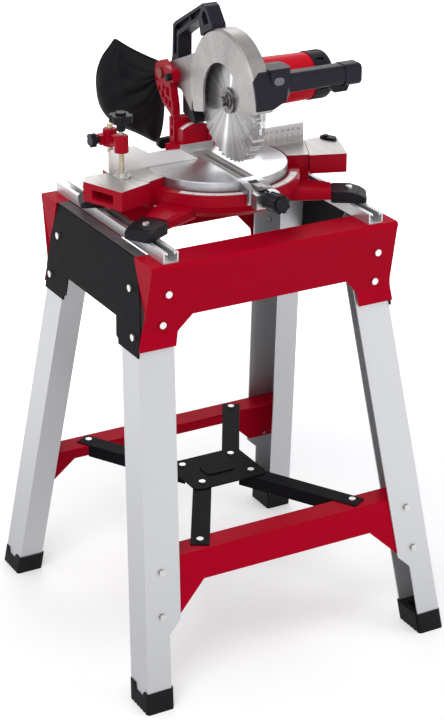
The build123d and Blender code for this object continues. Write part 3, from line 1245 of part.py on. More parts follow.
with BuildPart() as operating_handle:
    # cover that hugs the rim of the upper guard, its upper left corner cut off
    with BuildSketch(Plane.YZ.offset(GUARD_LEFT)) as cover:
        with Locations((GUARD_Y, GUARD_Z)):
            Circle(COVER_R)
            Circle(GUARD_R + SEAT, mode=Mode.SUBTRACT)
        with BuildLine():
            Polyline((HEAD_FRONT - 16, 898), (HEAD_FRONT + 34, 898), (HEAD_FRONT + 34, 951), (HEAD_FRONT - 16, 951),
                     close=True)
        make_face(mode=Mode.INTERSECT)
    extrude(cover.sketch, amount=GUARD_RIGHT - GUARD_LEFT)
    block_y([(GUARD_LEFT - 1, 939), (-2, 952), (GUARD_LEFT - 1, 952)], HEAD_FRONT - 16, HEAD_FRONT + 54,
            Mode.SUBTRACT)
    # faceted block that holds the grip, cut off on the slant below and at its free front corner
    facets = [
        (BLOCK_REAR, 893), (HEAD_FRONT + 34, 890), (HEAD_FRONT - 2, 897), (BLOCK_FRONT, 925), (BLOCK_FRONT, 949),
        (HEAD_FRONT + 11, 954), (HEAD_FRONT + 34, 956), (BLOCK_REAR - 6.7, 953), (BLOCK_REAR, 938),
    ]
    block_x(facets, GUARD_RIGHT, GRIP_START)
    block_y([(10, 880), (10, 896), (51, 914), (60, 914), (60, 880)], HEAD_FRONT - 16, BLOCK_REAR + 13, Mode.SUBTRACT)
    corner = [(30, HEAD_FRONT - 6), (50, HEAD_FRONT + 15), (60, HEAD_FRONT + 15), (60, HEAD_FRONT - 6)]
    block_z(corner, 880, 960, Mode.SUBTRACT)
    # the grip: a rounded bar, a little deeper at its end
    y1, y2 = GRIP_Y
    z1, z2 = GRIP_Z
    grip = [(y1, z1), (y2, z1), (y2, z2), (y1, z2)]
    block_x(grip, GRIP_START - 8, GRIP_END, radius=9)
    block_x([(y1 - 1, z1 - 2), (y2 + 1, z1 - 2), (y2 + 1, z2 + 1), (y1 - 1, z2 + 1)], GRIP_END - 30, GRIP_END,
            radius=9)
    fillet(operating_handle.faces().sort_by(Axis.X)[-1].edges(), 4)
    # pocket and pin bore of the trigger
    y1, y2 = TRIGGER_Y
    box(TRIGGER_X[0] - 1, TRIGGER_X[1] + 1, y1 - 0.5, y2 + 0.5, 900, 928, Mode.SUBTRACT)
    bar_y(*TRIGGER_PIN, 2 + RUNNING, y1 - 4, y2 + 4, Mode.SUBTRACT)
    # socket of the lock-off button
    button_plane = Plane(origin=(LOCK_BUTTON[0], BLOCK_FRONT - 1, LOCK_BUTTON[1]), x_dir=(1, 0, 0), z_dir=(0, 1, 0))
    with BuildSketch(button_plane) as socket:
        SlotOverall(17.6, 12.6)
    extrude(socket.sketch, amount=16, mode=Mode.SUBTRACT)
save(operating_handle.part, "operating_handle")

with BuildPart() as trigger:
    lever = [(113, 924), (171, 924), (171, 913), (164, 911), (158, 899), (136, 899), (128, 908), (113, 914)]
    y1, y2 = TRIGGER_Y
    block_y(lever, y1, y2)
    bar_y(*TRIGGER_PIN, 2, y1 - 3, y2 + 3)
save(trigger.part, "trigger")

with BuildPart() as lock_button:
    start = Plane(origin=(LOCK_BUTTON[0], BLOCK_FRONT - 2.5, LOCK_BUTTON[1]), x_dir=(1, 0, 0), z_dir=(0, 1, 0))
    with BuildSketch(start) as oval:
        SlotOverall(17, 12)
    extrude(oval.sketch, amount=13)
    chamfer(lock_button.faces().sort_by(Axis.Y)[0].edges(), 1)
save(lock_button.part, "lock_button")

CARRY_X = (-17.0, 7.0)
CARRY_HOLLOW = 8.0  # depth of the hollows in both sides
with BuildPart() as carry_handle:
    arch = [
        (116, 911.2), (113, 921), (110, 971), (103, 977), (12, 1025), (2, 1022), (-18, 998), (-20, 985),
        (12, 972), (19, 975), (24, 997), (61, 976), (92, 957), (93, 920),
    ]
    block_x(arch, *CARRY_X)
    bar_x(GUARD_Y, GUARD_Z, GUARD_R, -40, 40, Mode.SUBTRACT)
    # hollows along both sides leave a rib between two rims
    hollow = [(108, 925), (105, 966), (100, 972), (16, 1018), (24, 1003), (62, 983), (97, 962), (98, 925)]
    corner_hollow = [(-8, 999), (3, 1013), (9, 1015), (15, 1003), (6, 992)]
    for points in (hollow, corner_hollow):
        block_x(points, CARRY_X[0] - 1, CARRY_X[0] + CARRY_HOLLOW, Mode.SUBTRACT, radius=1.5)
        block_x(points, CARRY_X[1] - CARRY_HOLLOW, CARRY_X[1] + 1, Mode.SUBTRACT, radius=1.5)
    for y, z in ((103, 934), (101, 963), (58, 991)):
        bar_x(y, z, 2.5, CARRY_X[0] + 3, CARRY_X[0] + 9)
save(carry_handle.part, "carry_handle")

# ---------------------------------------------------------------------------
# Saw head: dust outlet and bag
# ---------------------------------------------------------------------------

CHUTE_X = 43.0
CHUTE_Z = 866.0
CHUTE_R = 17.0
CHUTE_WALL = 2.0
CHUTE_END = 150.0
ELBOW_R = CHUTE_R + 2.5
ELBOW_BORE = CHUTE_R - 1
BAG_START = (CHUTE_X, 165.0)  # plan position where the bag's elbow turns
BAG_DIRECTION = (-0.755, 0.656)  # the bag leans to the left and back
BAG_HALF = 27.0  # half thickness of the bag
NECK_LENGTH = 43.0
SCOOP_LEFT = -15.5

with BuildPart() as dust_chute:
    # hood on the guard's right wall, with the pipe leading straight back
    hood_right = CHUTE_X + CHUTE_R + 1
    # scoop behind the blade, rounded to clear the lower guard, with a bridge to the hood
    scoop = [(40, 847), (42, 828), (58, 828), (66, 833), (81, 835.5), (81, 869), (50, 845)]
    block_x(scoop, SCOOP_LEFT, GUARD_RIGHT)
    bar_x(BLADE_Y, BLADE_Z, CAVITY_R + 0.5, SCOOP_LEFT - 1, GUARD_RIGHT, Mode.SUBTRACT)
    box(GUARD_RIGHT, 22, 60, 66, 834, CHUTE_Z - 16)
    box(GUARD_RIGHT, hood_right, 20, 62, CHUTE_Z - 18, CHUTE_Z + 18)
    bar_y(CHUTE_X, CHUTE_Z, CHUTE_R, 60, CHUTE_END)
    box(GUARD_RIGHT - 1, hood_right - 2, 22, 60, CHUTE_Z - 16, CHUTE_Z + 16, Mode.SUBTRACT)
    bar_y(CHUTE_X, CHUTE_Z, CHUTE_R - CHUTE_WALL, 55, CHUTE_END + 1, Mode.SUBTRACT)
save(dust_chute.part, "dust_chute")

bag_side = (BAG_DIRECTION[1], -BAG_DIRECTION[0], 0)
bag_plane = Plane(origin=(*BAG_START, 0), x_dir=(*BAG_DIRECTION, 0), z_dir=bag_side)
bag_axis = Plane(origin=(*BAG_START, CHUTE_Z), z_dir=(*BAG_DIRECTION, 0))

with BuildPart() as bag_elbow:
    bar_y(CHUTE_X, CHUTE_Z, ELBOW_R, CHUTE_END - 14, BAG_START[1])
    disc(bag_axis, ELBOW_R, NECK_LENGTH)
    with Locations((*BAG_START, CHUTE_Z)):
        Sphere(ELBOW_R)
    bar_y(CHUTE_X, CHUTE_Z, CHUTE_R + SEAT, CHUTE_END - 15, CHUTE_END, Mode.SUBTRACT)
    bar_y(CHUTE_X, CHUTE_Z, ELBOW_BORE, CHUTE_END - 1, BAG_START[1], Mode.SUBTRACT)
    disc(bag_axis, ELBOW_BORE, NECK_LENGTH + 1, Mode.SUBTRACT)
    with Locations((*BAG_START, CHUTE_Z)):
        Sphere(ELBOW_BORE, mode=Mode.SUBTRACT)
save(bag_elbow.part, "bag_elbow")

with BuildPart() as dust_bag:
    # the filled bag hangs from its neck: a plain pillow, seen along its thickness
    neck = NECK_LENGTH + SLIDING
    pillow = [
        (neck, 842), (neck + 2, 772), (62, 752), (118, 778), (146, 800), (150, 862), (120, 914), (62, 889),
        (neck, 886),
    ]
    extrude(outline(bag_plane, pillow), amount=BAG_HALF, both=True, taper=22)
save(dust_bag.part, "dust_bag")
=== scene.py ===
import math

import bmesh
import bpy
import numpy as np
from mathutils import Euler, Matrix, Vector


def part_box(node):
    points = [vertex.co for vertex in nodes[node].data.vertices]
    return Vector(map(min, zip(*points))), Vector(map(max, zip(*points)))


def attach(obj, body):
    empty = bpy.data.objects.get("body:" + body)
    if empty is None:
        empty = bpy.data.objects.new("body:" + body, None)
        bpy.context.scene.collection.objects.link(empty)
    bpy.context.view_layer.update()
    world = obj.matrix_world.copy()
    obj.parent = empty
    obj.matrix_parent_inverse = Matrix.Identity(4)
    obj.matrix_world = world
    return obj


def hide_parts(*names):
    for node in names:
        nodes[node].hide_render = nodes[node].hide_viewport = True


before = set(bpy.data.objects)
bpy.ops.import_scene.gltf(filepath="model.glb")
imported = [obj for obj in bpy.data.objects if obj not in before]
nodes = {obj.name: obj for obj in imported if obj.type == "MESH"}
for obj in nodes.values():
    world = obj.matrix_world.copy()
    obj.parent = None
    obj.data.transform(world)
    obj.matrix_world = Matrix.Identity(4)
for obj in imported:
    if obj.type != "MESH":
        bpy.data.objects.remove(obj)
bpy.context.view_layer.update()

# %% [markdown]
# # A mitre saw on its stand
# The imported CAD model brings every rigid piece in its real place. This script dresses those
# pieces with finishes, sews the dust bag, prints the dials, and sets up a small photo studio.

MM = 0.001

# %% [markdown]
# ## The camera
# A long lens from the front left, a little above the table: with the lens this long the legs
# stay nearly parallel. The two angles and the stand-off were fitted to the stand's straight edges.

# %% Camera
CAMERA_AT = (-1.44467, -2.65282, 1.76044)
CAMERA_TURN = 0.5017
CAMERA_DROP = 0.4134
LENS_MM = 101.02

camera_data = bpy.data.cameras.new("camera")
camera_data.lens = LENS_MM
camera_data.sensor_width = 36
camera = bpy.data.objects.new("camera", camera_data)
camera.location = CAMERA_AT
camera.rotation_euler = Euler((math.pi / 2 - CAMERA_DROP, 0, -CAMERA_TURN))
bpy.context.scene.collection.objects.link(camera)
bpy.context.scene.camera = camera
print("camera lens", camera_data.lens, "mm")

# %% [markdown]
# ## The studio
# A white cyclorama is a pale floor under a white world. The world is white where it is seen
# straight on, in a reflection or through clear plastic, and a plain grey-white light elsewhere,
# so the metal mirrors a white room while the light on the paint stays level.

# %% Floor, world and lamps
WORLD_LIGHT = 0.56


def add_node(tree, kind, settings=None, inputs=None):
    """Adds one node: settings are its own properties, inputs are values or links by socket."""
    node = tree.nodes.new(kind)
    for name, value in (settings or {}).items():
        setattr(node, name, value)
    for key, value in (inputs or {}).items():
        if isinstance(value, bpy.types.NodeSocket):
            tree.links.new(value, node.inputs[key])
        else:
            node.inputs[key].default_value = value
    return node


def seen_directly(tree):
    """1 where a ray comes from the camera, a mirror-like bounce or clear plastic, else 0."""
    path = add_node(tree, "ShaderNodeLightPath")
    first = add_node(
        tree, "ShaderNodeMath", {"operation": "MAXIMUM"},
        {0: path.outputs["Is Camera Ray"], 1: path.outputs["Is Glossy Ray"]},
    )
    both = add_node(
        tree, "ShaderNodeMath", {"operation": "MAXIMUM"},
        {0: first.outputs[0], 1: path.outputs["Is Transmission Ray"]},
    )
    return both.outputs[0]


world = bpy.data.worlds.new("studio_world")
world.use_nodes = True
world.node_tree.nodes.clear()
tree = world.node_tree
room = add_node(tree, "ShaderNodeBackground", None, {"Color": (0.95, 0.965, 1, 1), "Strength": WORLD_LIGHT})
backdrop = add_node(tree, "ShaderNodeBackground", None, {"Color": (1, 1, 1, 1), "Strength": 1})
chosen = add_node(
    tree, "ShaderNodeMixShader", None,
    {0: seen_directly(tree), 1: room.outputs[0], 2: backdrop.outputs[0]},
)
add_node(tree, "ShaderNodeOutputWorld", None, {"Surface": chosen.outputs[0]})
bpy.context.scene.world = world

floor_mesh = bpy.data.meshes.new("studio_floor")
FLOOR = 6.0
floor_mesh.from_pydata(
    [(-FLOOR, -FLOOR, 0), (FLOOR, -FLOOR, 0), (FLOOR, FLOOR, 0), (-FLOOR, FLOOR, 0)], [], [(0, 1, 2, 3)]
)
floor = bpy.data.objects.new("studio_floor", floor_mesh)
bpy.context.scene.collection.objects.link(floor)
floor_paint = bpy.data.materials.new("studio_floor")
floor_paint.use_nodes = True
tree = floor_paint.node_tree
tree.nodes.clear()
matt = add_node(tree, "ShaderNodeBsdfDiffuse", None, {"Color": (0.86, 0.86, 0.86, 1)})
spot = add_node(tree, "ShaderNodeTexCoord")
reach = add_node(tree, "ShaderNodeVectorMath", {"operation": "LENGTH"}, {0: spot.outputs["Object"]})
growing = add_node(
    tree, "ShaderNodeMapRange", {"interpolation_type": "SMOOTHSTEP"},
    {0: reach.outputs["Value"], "From Min": 0.5, "From Max": 1.6, "To Min": 0.30, "To Max": 1.0},
)
glow = add_node(tree, "ShaderNodeEmission", None, {"Color": (1, 1, 1, 1), "Strength": growing.outputs[0]})
lifted = add_node(tree, "ShaderNodeAddShader", None, {0: matt.outputs[0], 1: glow.outputs[0]})
chosen = add_node(
    tree, "ShaderNodeMixShader", None,
    {0: seen_directly(tree), 1: matt.outputs[0], 2: lifted.outputs[0]},
)
add_node(tree, "ShaderNodeOutputMaterial", None, {"Surface": chosen.outputs[0]})
floor_mesh.materials.append(floor_paint)


def soft_box(name, at, aim, size, watts, tint=(1, 1, 1)):
    """A square lamp with a diffuser, pointed at a place."""
    lamp_data = bpy.data.lights.new(name, "AREA")
    lamp_data.shape = "SQUARE"
    lamp_data.size = size
    lamp_data.energy = watts
    lamp_data.color = tint
    lamp = bpy.data.objects.new(name, lamp_data)
    lamp.location = at
    lamp.rotation_euler = (Vector(aim) - Vector(at)).to_track_quat("-Z", "Y").to_euler()
    bpy.context.scene.collection.objects.link(lamp)


soft_box("key_lamp", (-1.6, -1.5, 3.0), (0, 0, 0.6), 1.6, 42)
soft_box("fill_lamp", (2.4, -2.0, 1.4), (0, 0, 0.6), 1.8, 20)
soft_box("back_lamp", (0.8, 2.2, 2.4), (0, 0, 0.7), 1.5, 18)
view = bpy.context.scene.view_settings
view.view_transform = "Standard"
print("studio: world", WORLD_LIGHT, "and three lamps")

# %% [markdown]
# ## A small kit for finishes
# Shader maths reads best as Python. `Number` wraps one socket and turns arithmetic into Math
# nodes; `Finish` opens a material and hands out nodes, so each finish below is a few lines.


# %% Number and Finish
class Number:
    """One value socket of a shader. Arithmetic on it adds Math nodes."""

    def __init__(self, tree, socket):
        self.tree = tree
        self.socket = socket

    def math(self, operation, *others):
        values = {0: self.socket}
        for place, other in enumerate(others, 1):
            values[place] = other.socket if isinstance(other, Number) else other
        made = add_node(self.tree, "ShaderNodeMath", {"operation": operation}, values)
        return Number(self.tree, made.outputs[0])

    def after(self, operation, first):
        made = add_node(self.tree, "ShaderNodeMath", {"operation": operation}, {0: first, 1: self.socket})
        return Number(self.tree, made.outputs[0])

    def __add__(self, other):
        return self.math("ADD", other)

    def __sub__(self, other):
        return self.math("SUBTRACT", other)

    def __mul__(self, other):
        return self.math("MULTIPLY", other)

    def __truediv__(self, other):
        return self.math("DIVIDE", other)

    def __gt__(self, other):
        return self.math("GREATER_THAN", other)

    def __lt__(self, other):
        return self.math("LESS_THAN", other)

    def __rsub__(self, other):
        return self.after("SUBTRACT", other)

    __radd__ = __add__
    __rmul__ = __mul__


class Finish:
    """A material built in code around one Principled shader."""

    def __init__(self, name, colour, rough, metal=0.0, **fixed):
        self.material = bpy.data.materials.new(name)
        self.material.use_nodes = True
        self.tree = self.material.node_tree
        self.tree.nodes.clear()
        self.shader = self.node("ShaderNodeBsdfPrincipled")
        self.node("ShaderNodeOutputMaterial", None, {"Surface": self.shader.outputs[0]})
        self.set("Base Color", (*colour, 1))
        self.set("Roughness", rough)
        self.set("Metallic", metal)
        for socket, value in fixed.items():
            self.set(socket.replace("_", " "), value)
        self.material.diffuse_color = (*colour, 1)
        place = self.node("ShaderNodeTexCoord").outputs["Object"]
        self.place = place
        axes = self.node("ShaderNodeSeparateXYZ", None, {0: place})
        self.x, self.y, self.z = (Number(self.tree, axes.outputs[i]) for i in range(3))

    def node(self, kind, settings=None, inputs=None):
        """Any node, by its type, its settings and the values or links of its sockets."""
        plain = {k: v.socket if isinstance(v, Number) else v for k, v in (inputs or {}).items()}
        return add_node(self.tree, kind, settings, plain)

    def set(self, socket, value):
        """Sets or links one of the shader's own sockets."""
        if isinstance(value, Number):
            value = value.socket
        if isinstance(value, bpy.types.NodeSocket):
            self.tree.links.new(value, self.shader.inputs[socket])
        else:
            self.shader.inputs[socket].default_value = value

    def noise(self, per_metre, detail=3.0, rough=0.55, stretch=(1, 1, 1), place=None):
        """Noise with so many cells to the metre, stretched by a scale along each axis."""
        at = self.place if place is None else place
        if stretch != (1, 1, 1):
            at = self.node("ShaderNodeMapping", None, {"Vector": at, "Scale": stretch}).outputs[0]
        made = self.node(
            "ShaderNodeTexNoise", None,
            {"Vector": at, "Scale": per_metre, "Detail": detail, "Roughness": rough},
        )
        return Number(self.tree, made.outputs[0])

    def around(self, turn):
        """A place on the unit circle, so that noise read there closes on itself after a turn."""
        flat = {0: turn.math("COSINE"), 1: turn.math("SINE")}
        return self.node("ShaderNodeCombineXYZ", None, flat).outputs[0]

    def step(self, value, low, high):
        """0 below low, 1 above high, smooth between."""
        made = self.node(
            "ShaderNodeMapRange", {"interpolation_type": "SMOOTHSTEP"},
            {0: value, "From Min": low, "From Max": high},
        )
        return Number(self.tree, made.outputs[0])

    def spread(self, value, low, high):
        """A value from 0 to 1 moved to low to high."""
        return value * (high - low) + low

    def blend(self, mask, first, second):
        """The first colour where the mask is 0 and the second where it is 1."""
        def full(c):
            return c if isinstance(c, bpy.types.NodeSocket) else (*c, 1)
        made = self.node(
            "ShaderNodeMix", {"data_type": "RGBA"},
            {0: mask, 6: full(first), 7: full(second)},
        )
        return made.outputs[2]

    def bump(self, height, depth, strength=1.0):
        """Sends a height field, in millimetres of depth, to the shader's normal."""
        made = self.node(
            "ShaderNodeBump", None, {"Strength": strength, "Distance": depth * MM, "Height": height}
        )
        self.set("Normal", made.outputs[0])


def dress(finish, *names):
    """Gives CAD nodes a finish, in place of the flat colour they came with."""
    for name in names:
        nodes[name].data.materials.clear()
        nodes[name].data.materials.append(finish.material)


print("finish kit ready")

# %% [markdown]
# ## Painted steel
# The stand's panels and braces are bent sheet under powder coat. Powder flows into a skin with a
# faint orange peel, so the bump is a soft pattern a millimetre or two wide, and the gloss wanders
# a little. The specular level is low, which keeps the white room from veiling the colour.


# %% Powder coats
def powder_coat(name, colour, light, rough, gloss):
    """Paint with orange peel, cloudy gloss, and dust-pale cloudiness in the colour."""
    finish = Finish(name, colour, rough, Specular_IOR_Level=gloss)
    cloud = finish.noise(9, 4)
    finish.set("Base Color", finish.blend(finish.spread(cloud, 0.1, 0.75), colour, light))
    finish.set("Roughness", finish.spread(finish.noise(45, 3), rough - 0.06, rough + 0.10))
    finish.bump(finish.noise(650, 2), 0.05, 0.35)
    return finish


red_coat = powder_coat("red_powder_coat", (0.400, 0.0006, 0.014), (0.450, 0.0010, 0.018), 0.40, 0.03)
black_coat = powder_coat("black_powder_coat", (0.0072, 0.0060, 0.0078), (0.0100, 0.0088, 0.0108), 0.42, 0.02)
# painted reflection: the flat tops of the side panels' flanges are made paler and streaky in colour,
# standing in for the lamps mirrored in the glossy coat
PANEL_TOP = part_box("left_panel")[1][2]
flange = black_coat.z > PANEL_TOP - 0.0012
flange_sheen_streaks = black_coat.noise(1, 3, 0.6, (300, 30, 300))
dark_coat = black_coat.shader.inputs["Base Color"].links[0].from_socket
flange_painted_sheen = black_coat.blend(flange_sheen_streaks, (0.085, 0.070, 0.076), (0.150, 0.130, 0.138))
black_coat.set("Base Color", black_coat.blend(flange, dark_coat, flange_painted_sheen))
dress(red_coat, "front_panel", "rear_panel", "front_brace", "rear_brace")
dress(black_coat, "left_panel", "right_panel", "centre_plate", "cross_arms")
print("painted the stand")

# %% [markdown]
# ## Extruded and cast aluminium
# The legs and rails are drawn through a die, which leaves hair-fine lines along their length. The
# table, fences and guard are castings with machined faces: the cutter leaves rings or bands.


# %% Aluminium
def drawn_aluminium(name, stretch, colour, light):
    """Matt extrusion: long streaks in gloss and height along one axis."""
    finish = Finish(name, colour, 0.42, 0.75)
    streak = finish.noise(1, 4, 0.6, stretch)
    finish.set("Base Color", finish.blend(streak, colour, light))
    finish.set("Roughness", finish.spread(streak, 0.34, 0.54))
    finish.bump(streak, 0.03, 0.4)
    return finish


leg_metal = drawn_aluminium("leg_aluminium", (900, 900, 6), (0.47, 0.475, 0.485), (0.55, 0.555, 0.57))
rail_metal = drawn_aluminium("rail_aluminium", (900, 5, 900), (0.52, 0.525, 0.53), (0.66, 0.665, 0.68))
dress(leg_metal, "leg_fl", "leg_fr", "leg_rl", "leg_rr")
dress(rail_metal, "rail_left", "rail_right")


def turned_metal(name, centre, axes, colour, light, rough, rim_at, rim_tone, fan_cells=1.6):
    """Machined face: rings about a centre in the plane of two axes, over a faint casting grain.
    The rim outside a radius is made darker, by a tone that multiplies its colour."""
    finish = Finish(name, colour, rough, 0.85)
    a = getattr(finish, axes[0]) - centre[0]
    b = getattr(finish, axes[1]) - centre[1]
    radius = (a * a + b * b).math("SQRT")
    ring_place = finish.node("ShaderNodeCombineXYZ", None, {0: radius * 900}).outputs[0]
    rings = finish.noise(1, 3, 0.6, place=ring_place)
    grain = finish.noise(120, 4)
    # a round cut mirrors lamps in a fan; it is put in the colour here, so it stays where it is
    turn = b.math("ARCTAN2", a)
    fan = finish.noise(fan_cells, 2, 0.5, place=finish.around(turn))
    mixed = finish.step(rings * 0.35 + grain * 0.15 + fan * 0.5, 0.36, 0.64)
    face = finish.blend(mixed, colour, light)
    darker_rim_tones = [tuple(c * rim_tone for c in tone) for tone in (colour, light)]
    finish.set("Base Color", finish.blend(radius > rim_at, face, finish.blend(mixed, *darker_rim_tones)))
    finish.set("Roughness", finish.spread(rings, rough - 0.08, rough + 0.10))
    finish.bump(rings, 0.02, 0.5)
    return finish


BLADE_AT = (-0.044, 0.885)
GUARD_AT = (-0.050, 0.893)
table_metal = turned_metal(
    "machined_table", (0, 0), "xy", (0.46, 0.47, 0.49), (0.78, 0.79, 0.82), 0.30, 0.1112, 0.62
)
guard_metal = turned_metal(
    "brushed_guard", GUARD_AT, "yz", (0.24, 0.222, 0.220), (0.43, 0.405, 0.400), 0.38, 0.1035, 0.80, 1.2
)
dress(table_metal, "turntable")
dress(guard_metal, "upper_guard")

fence_metal = Finish("machined_fence", (0.88, 0.85, 0.84), 0.36, 0.8)
band = fence_metal.noise(1, 4, 0.6, (8, 600, 500))
fence_metal.set("Base Color", fence_metal.blend(band, (0.80, 0.77, 0.76), (0.96, 0.93, 0.92)))
fence_metal.set("Roughness", fence_metal.spread(band, 0.30, 0.48))
fence_metal.bump(band, 0.03, 0.4)
dress(fence_metal, "fence_left")
print("aluminium on legs, rails, table, guard and left fence")

# %% [markdown]
# ## Red castings with bare tops
# The base and the wings are painted all over and then milled flat on top, so their colour turns
# from paint to metal at the table's height. The mask reads the height and nothing else.

# %% Castings
TABLE_TOP = 777 * MM
FOOT_ARMS = [((98, -62), (178, -108)), ((98, 34), (178, 62))]  # where each arm starts, and its foot
CAP_REACH = 27.6  # how far a cap comes back along its arm from the foot
CAP_TOP = 733.5 * MM
PAD_TOP = TABLE_TOP + 11.4 * MM  # the bracket's bare pad: its top, and where it ends behind
PAD_BACK = 65.5 * MM


def in_foot_cap(finish):
    """1 on the tongues that the black foot caps are pushed over: past the arm's end, measured
    along the arm in plan, and below the height of the caps."""
    across = finish.x.math("ABSOLUTE")
    tongues = []
    for (x, y), (foot_x, foot_y) in FOOT_ARMS:
        run = math.hypot(foot_x - x, foot_y - y)
        a, b = (foot_x - x) / run, (foot_y - y) / run
        along = (across - x * MM) * a + (finish.y - y * MM) * b
        side = finish.y * (1 if foot_y > 0 else -1) > 0.02
        tongues.append((along > (run - CAP_REACH) * MM) * side)
    return sum(tongues) * (finish.z < CAP_TOP)


def casting(name, bare_top):
    """Glossy red over the grain of a sand casting, with a milled top face where asked."""
    paint = (0.350, 0.0010, 0.012)
    finish = Finish(name, paint, 0.30, 0.0, Specular_IOR_Level=0.08)
    cloud = finish.noise(14, 4)
    colour = finish.blend(finish.spread(cloud, 0, 0.8), paint, (0.43, 0.0025, 0.018))
    grain = finish.noise(420, 3)
    if bare_top:
        top = finish.step(finish.z, TABLE_TOP - 0.0006, TABLE_TOP - 0.0003)
        mill = finish.noise(1, 3, 0.6, (500, 14, 500))
        metal = finish.blend(finish.step(mill, 0.25, 0.75), (0.38, 0.366, 0.357), (0.48, 0.466, 0.457))
        painted = finish.blend(in_foot_cap(finish), colour, (0.010, 0.009, 0.011))
        finish.set("Base Color", finish.blend(top, painted, metal))
        finish.set("Metallic", top * 0.8)
        finish.set("Roughness", finish.spread(cloud, 0.26, 0.36) + top * 0.06)
    else:
        finish.set("Base Color", colour)
        finish.set("Roughness", finish.spread(cloud, 0.26, 0.38))
    finish.bump(grain, 0.10, 0.35)
    return finish


dress(casting("red_casting_milled", True), "base_casting", "wing_left", "wing_right")
dress(casting("red_casting", False), "bevel_column", "clamp_arm")

# the bracket's low pad in front is left bare where the cutter faced it off
bracket_finish = casting("bracket_casting", False)
pad = (bracket_finish.z < PAD_TOP) * (bracket_finish.y < PAD_BACK)
bare = bracket_finish.blend(bracket_finish.noise(60, 4), (0.42, 0.42, 0.42), (0.56, 0.56, 0.56))
red_socket = bracket_finish.shader.inputs["Base Color"].links[0].from_socket
bracket_finish.set("Base Color", bracket_finish.blend(pad, red_socket, bare))
bracket_finish.set("Metallic", pad * 0.6)
dress(bracket_finish, "bevel_bracket")
print("castings painted, tops bare above", TABLE_TOP)

# %% [markdown]
# ## Moulded plastics and rubber
# Injection moulds are spark-etched, which prints a fine even grain. Rubber is the same idea with
# a softer, duller skin.


# %% Plastics
def moulded(name, colour, light, rough, grain=900, depth=0.05, gloss=0.10):
    """Moulded skin: spark-etched grain, cloudy gloss and slightly dusty colour."""
    finish = Finish(name, colour, rough, Specular_IOR_Level=gloss)
    cloud = finish.noise(25, 3)
    finish.set("Base Color", finish.blend(finish.spread(cloud, 0, 0.9), colour, light))
    finish.set("Roughness", finish.spread(finish.noise(60, 3), rough - 0.06, rough + 0.10))
    finish.bump(finish.noise(grain, 2), depth, 0.5)
    return finish


black_plastic = moulded("black_plastic", (0.0090, 0.0080, 0.0105), (0.016, 0.0145, 0.019), 0.38)
handle_plastic = moulded(
    "handle_plastic", (0.0110, 0.0098, 0.0160), (0.020, 0.018, 0.027), 0.36, 1100, 0.08, 0.12
)
foot_rubber = moulded("foot_rubber", (0.0080, 0.0070, 0.0080), (0.016, 0.014, 0.016), 0.62, 700, 0.10)
motor_plastic = moulded(
    "motor_red_plastic", (0.560, 0.0050, 0.016), (0.640, 0.0080, 0.022), 0.30, 800, 0.03, 0.05
)
grey_plastic = moulded("grey_button", (0.14, 0.14, 0.16), (0.20, 0.20, 0.22), 0.40)
insert_plastic = moulded("insert_plastic", (0.250, 0.235, 0.226), (0.40, 0.385, 0.375), 0.42, 500, 0.08)
dress(
    black_plastic, "base_feet", "mitre_knob", "bevel_lever", "clamp_knob", "clamp_lock_knob",
    "head_lock_pin", "motor_end_cap", "bag_elbow", "end_stop", "dust_chute", "trigger",
)
dress(handle_plastic, "operating_handle", "carry_handle")
dress(foot_rubber, "foot_fl", "foot_fr", "foot_rl", "foot_rr")
dress(motor_plastic, "motor_housing")
dress(grey_plastic, "lock_button")
dress(insert_plastic, "kerf_insert")
print("plastics and rubber dressed")

# %% [markdown]
# ## Steel: bolts, rods and the blade
# Zinc plating is pale and slightly yellow with cloudy stains. The blade is ground in circles, so
# it shows rings in height. The bright fan that such rings make of a lamp is put in the colour, so
# it keeps its place on the blade's plane at rest and does not follow the lamps or the viewer.


# %% Steel
def plated_steel(name, colour, stain, rough):
    """Zinc plate: cloudy stain in colour and gloss over fine pitting."""
    finish = Finish(name, colour, rough, 1.0)
    cloud = finish.noise(160, 4)
    finish.set("Base Color", finish.blend(cloud, colour, stain))
    finish.set("Roughness", finish.spread(cloud, rough - 0.08, rough + 0.14))
    finish.bump(finish.noise(2500, 2), 0.02, 0.3)
    return finish


bolt_steel = plated_steel("zinc_bolts", (0.72, 0.71, 0.70), (0.50, 0.49, 0.48), 0.32)
rod_steel = plated_steel("yellow_zinc", (0.60, 0.55, 0.42), (0.42, 0.36, 0.24), 0.34)
arbor_steel = plated_steel("arbor_steel", (0.20, 0.19, 0.19), (0.12, 0.115, 0.115), 0.30)
pivot_steel = plated_steel("pivot_steel", (0.30, 0.10, 0.10), (0.16, 0.03, 0.035), 0.42)
lever_steel = plated_steel("lever_steel", (0.36, 0.35, 0.35), (0.22, 0.21, 0.21), 0.40)
dress(bolt_steel, "stand_bolts", "saw_bolts", "clamp_pad")
dress(pivot_steel, "pivot_shaft")
dress(lever_steel, "detent_lever")
dress(rod_steel, "clamp_post", "clamp_screw")
dress(arbor_steel, "spindle", "arbor_flange", "arbor_bolt")

BLADE_R = 0.095
FAN_TURN = 1.755
blade_steel = Finish("ground_blade", (0.50, 0.50, 0.50), 0.30, 0.62)
ry = blade_steel.y - BLADE_AT[0]
rz = blade_steel.z - BLADE_AT[1]
blade_radius = (ry * ry + rz * rz).math("SQRT")
ring_place = blade_steel.node("ShaderNodeCombineXYZ", None, {0: blade_radius * 2600}).outputs[0]
blade_rings = blade_steel.noise(1, 3, 0.7, place=ring_place)
carbide = blade_steel.step(blade_radius, BLADE_R - 0.0038, BLADE_R - 0.0032)
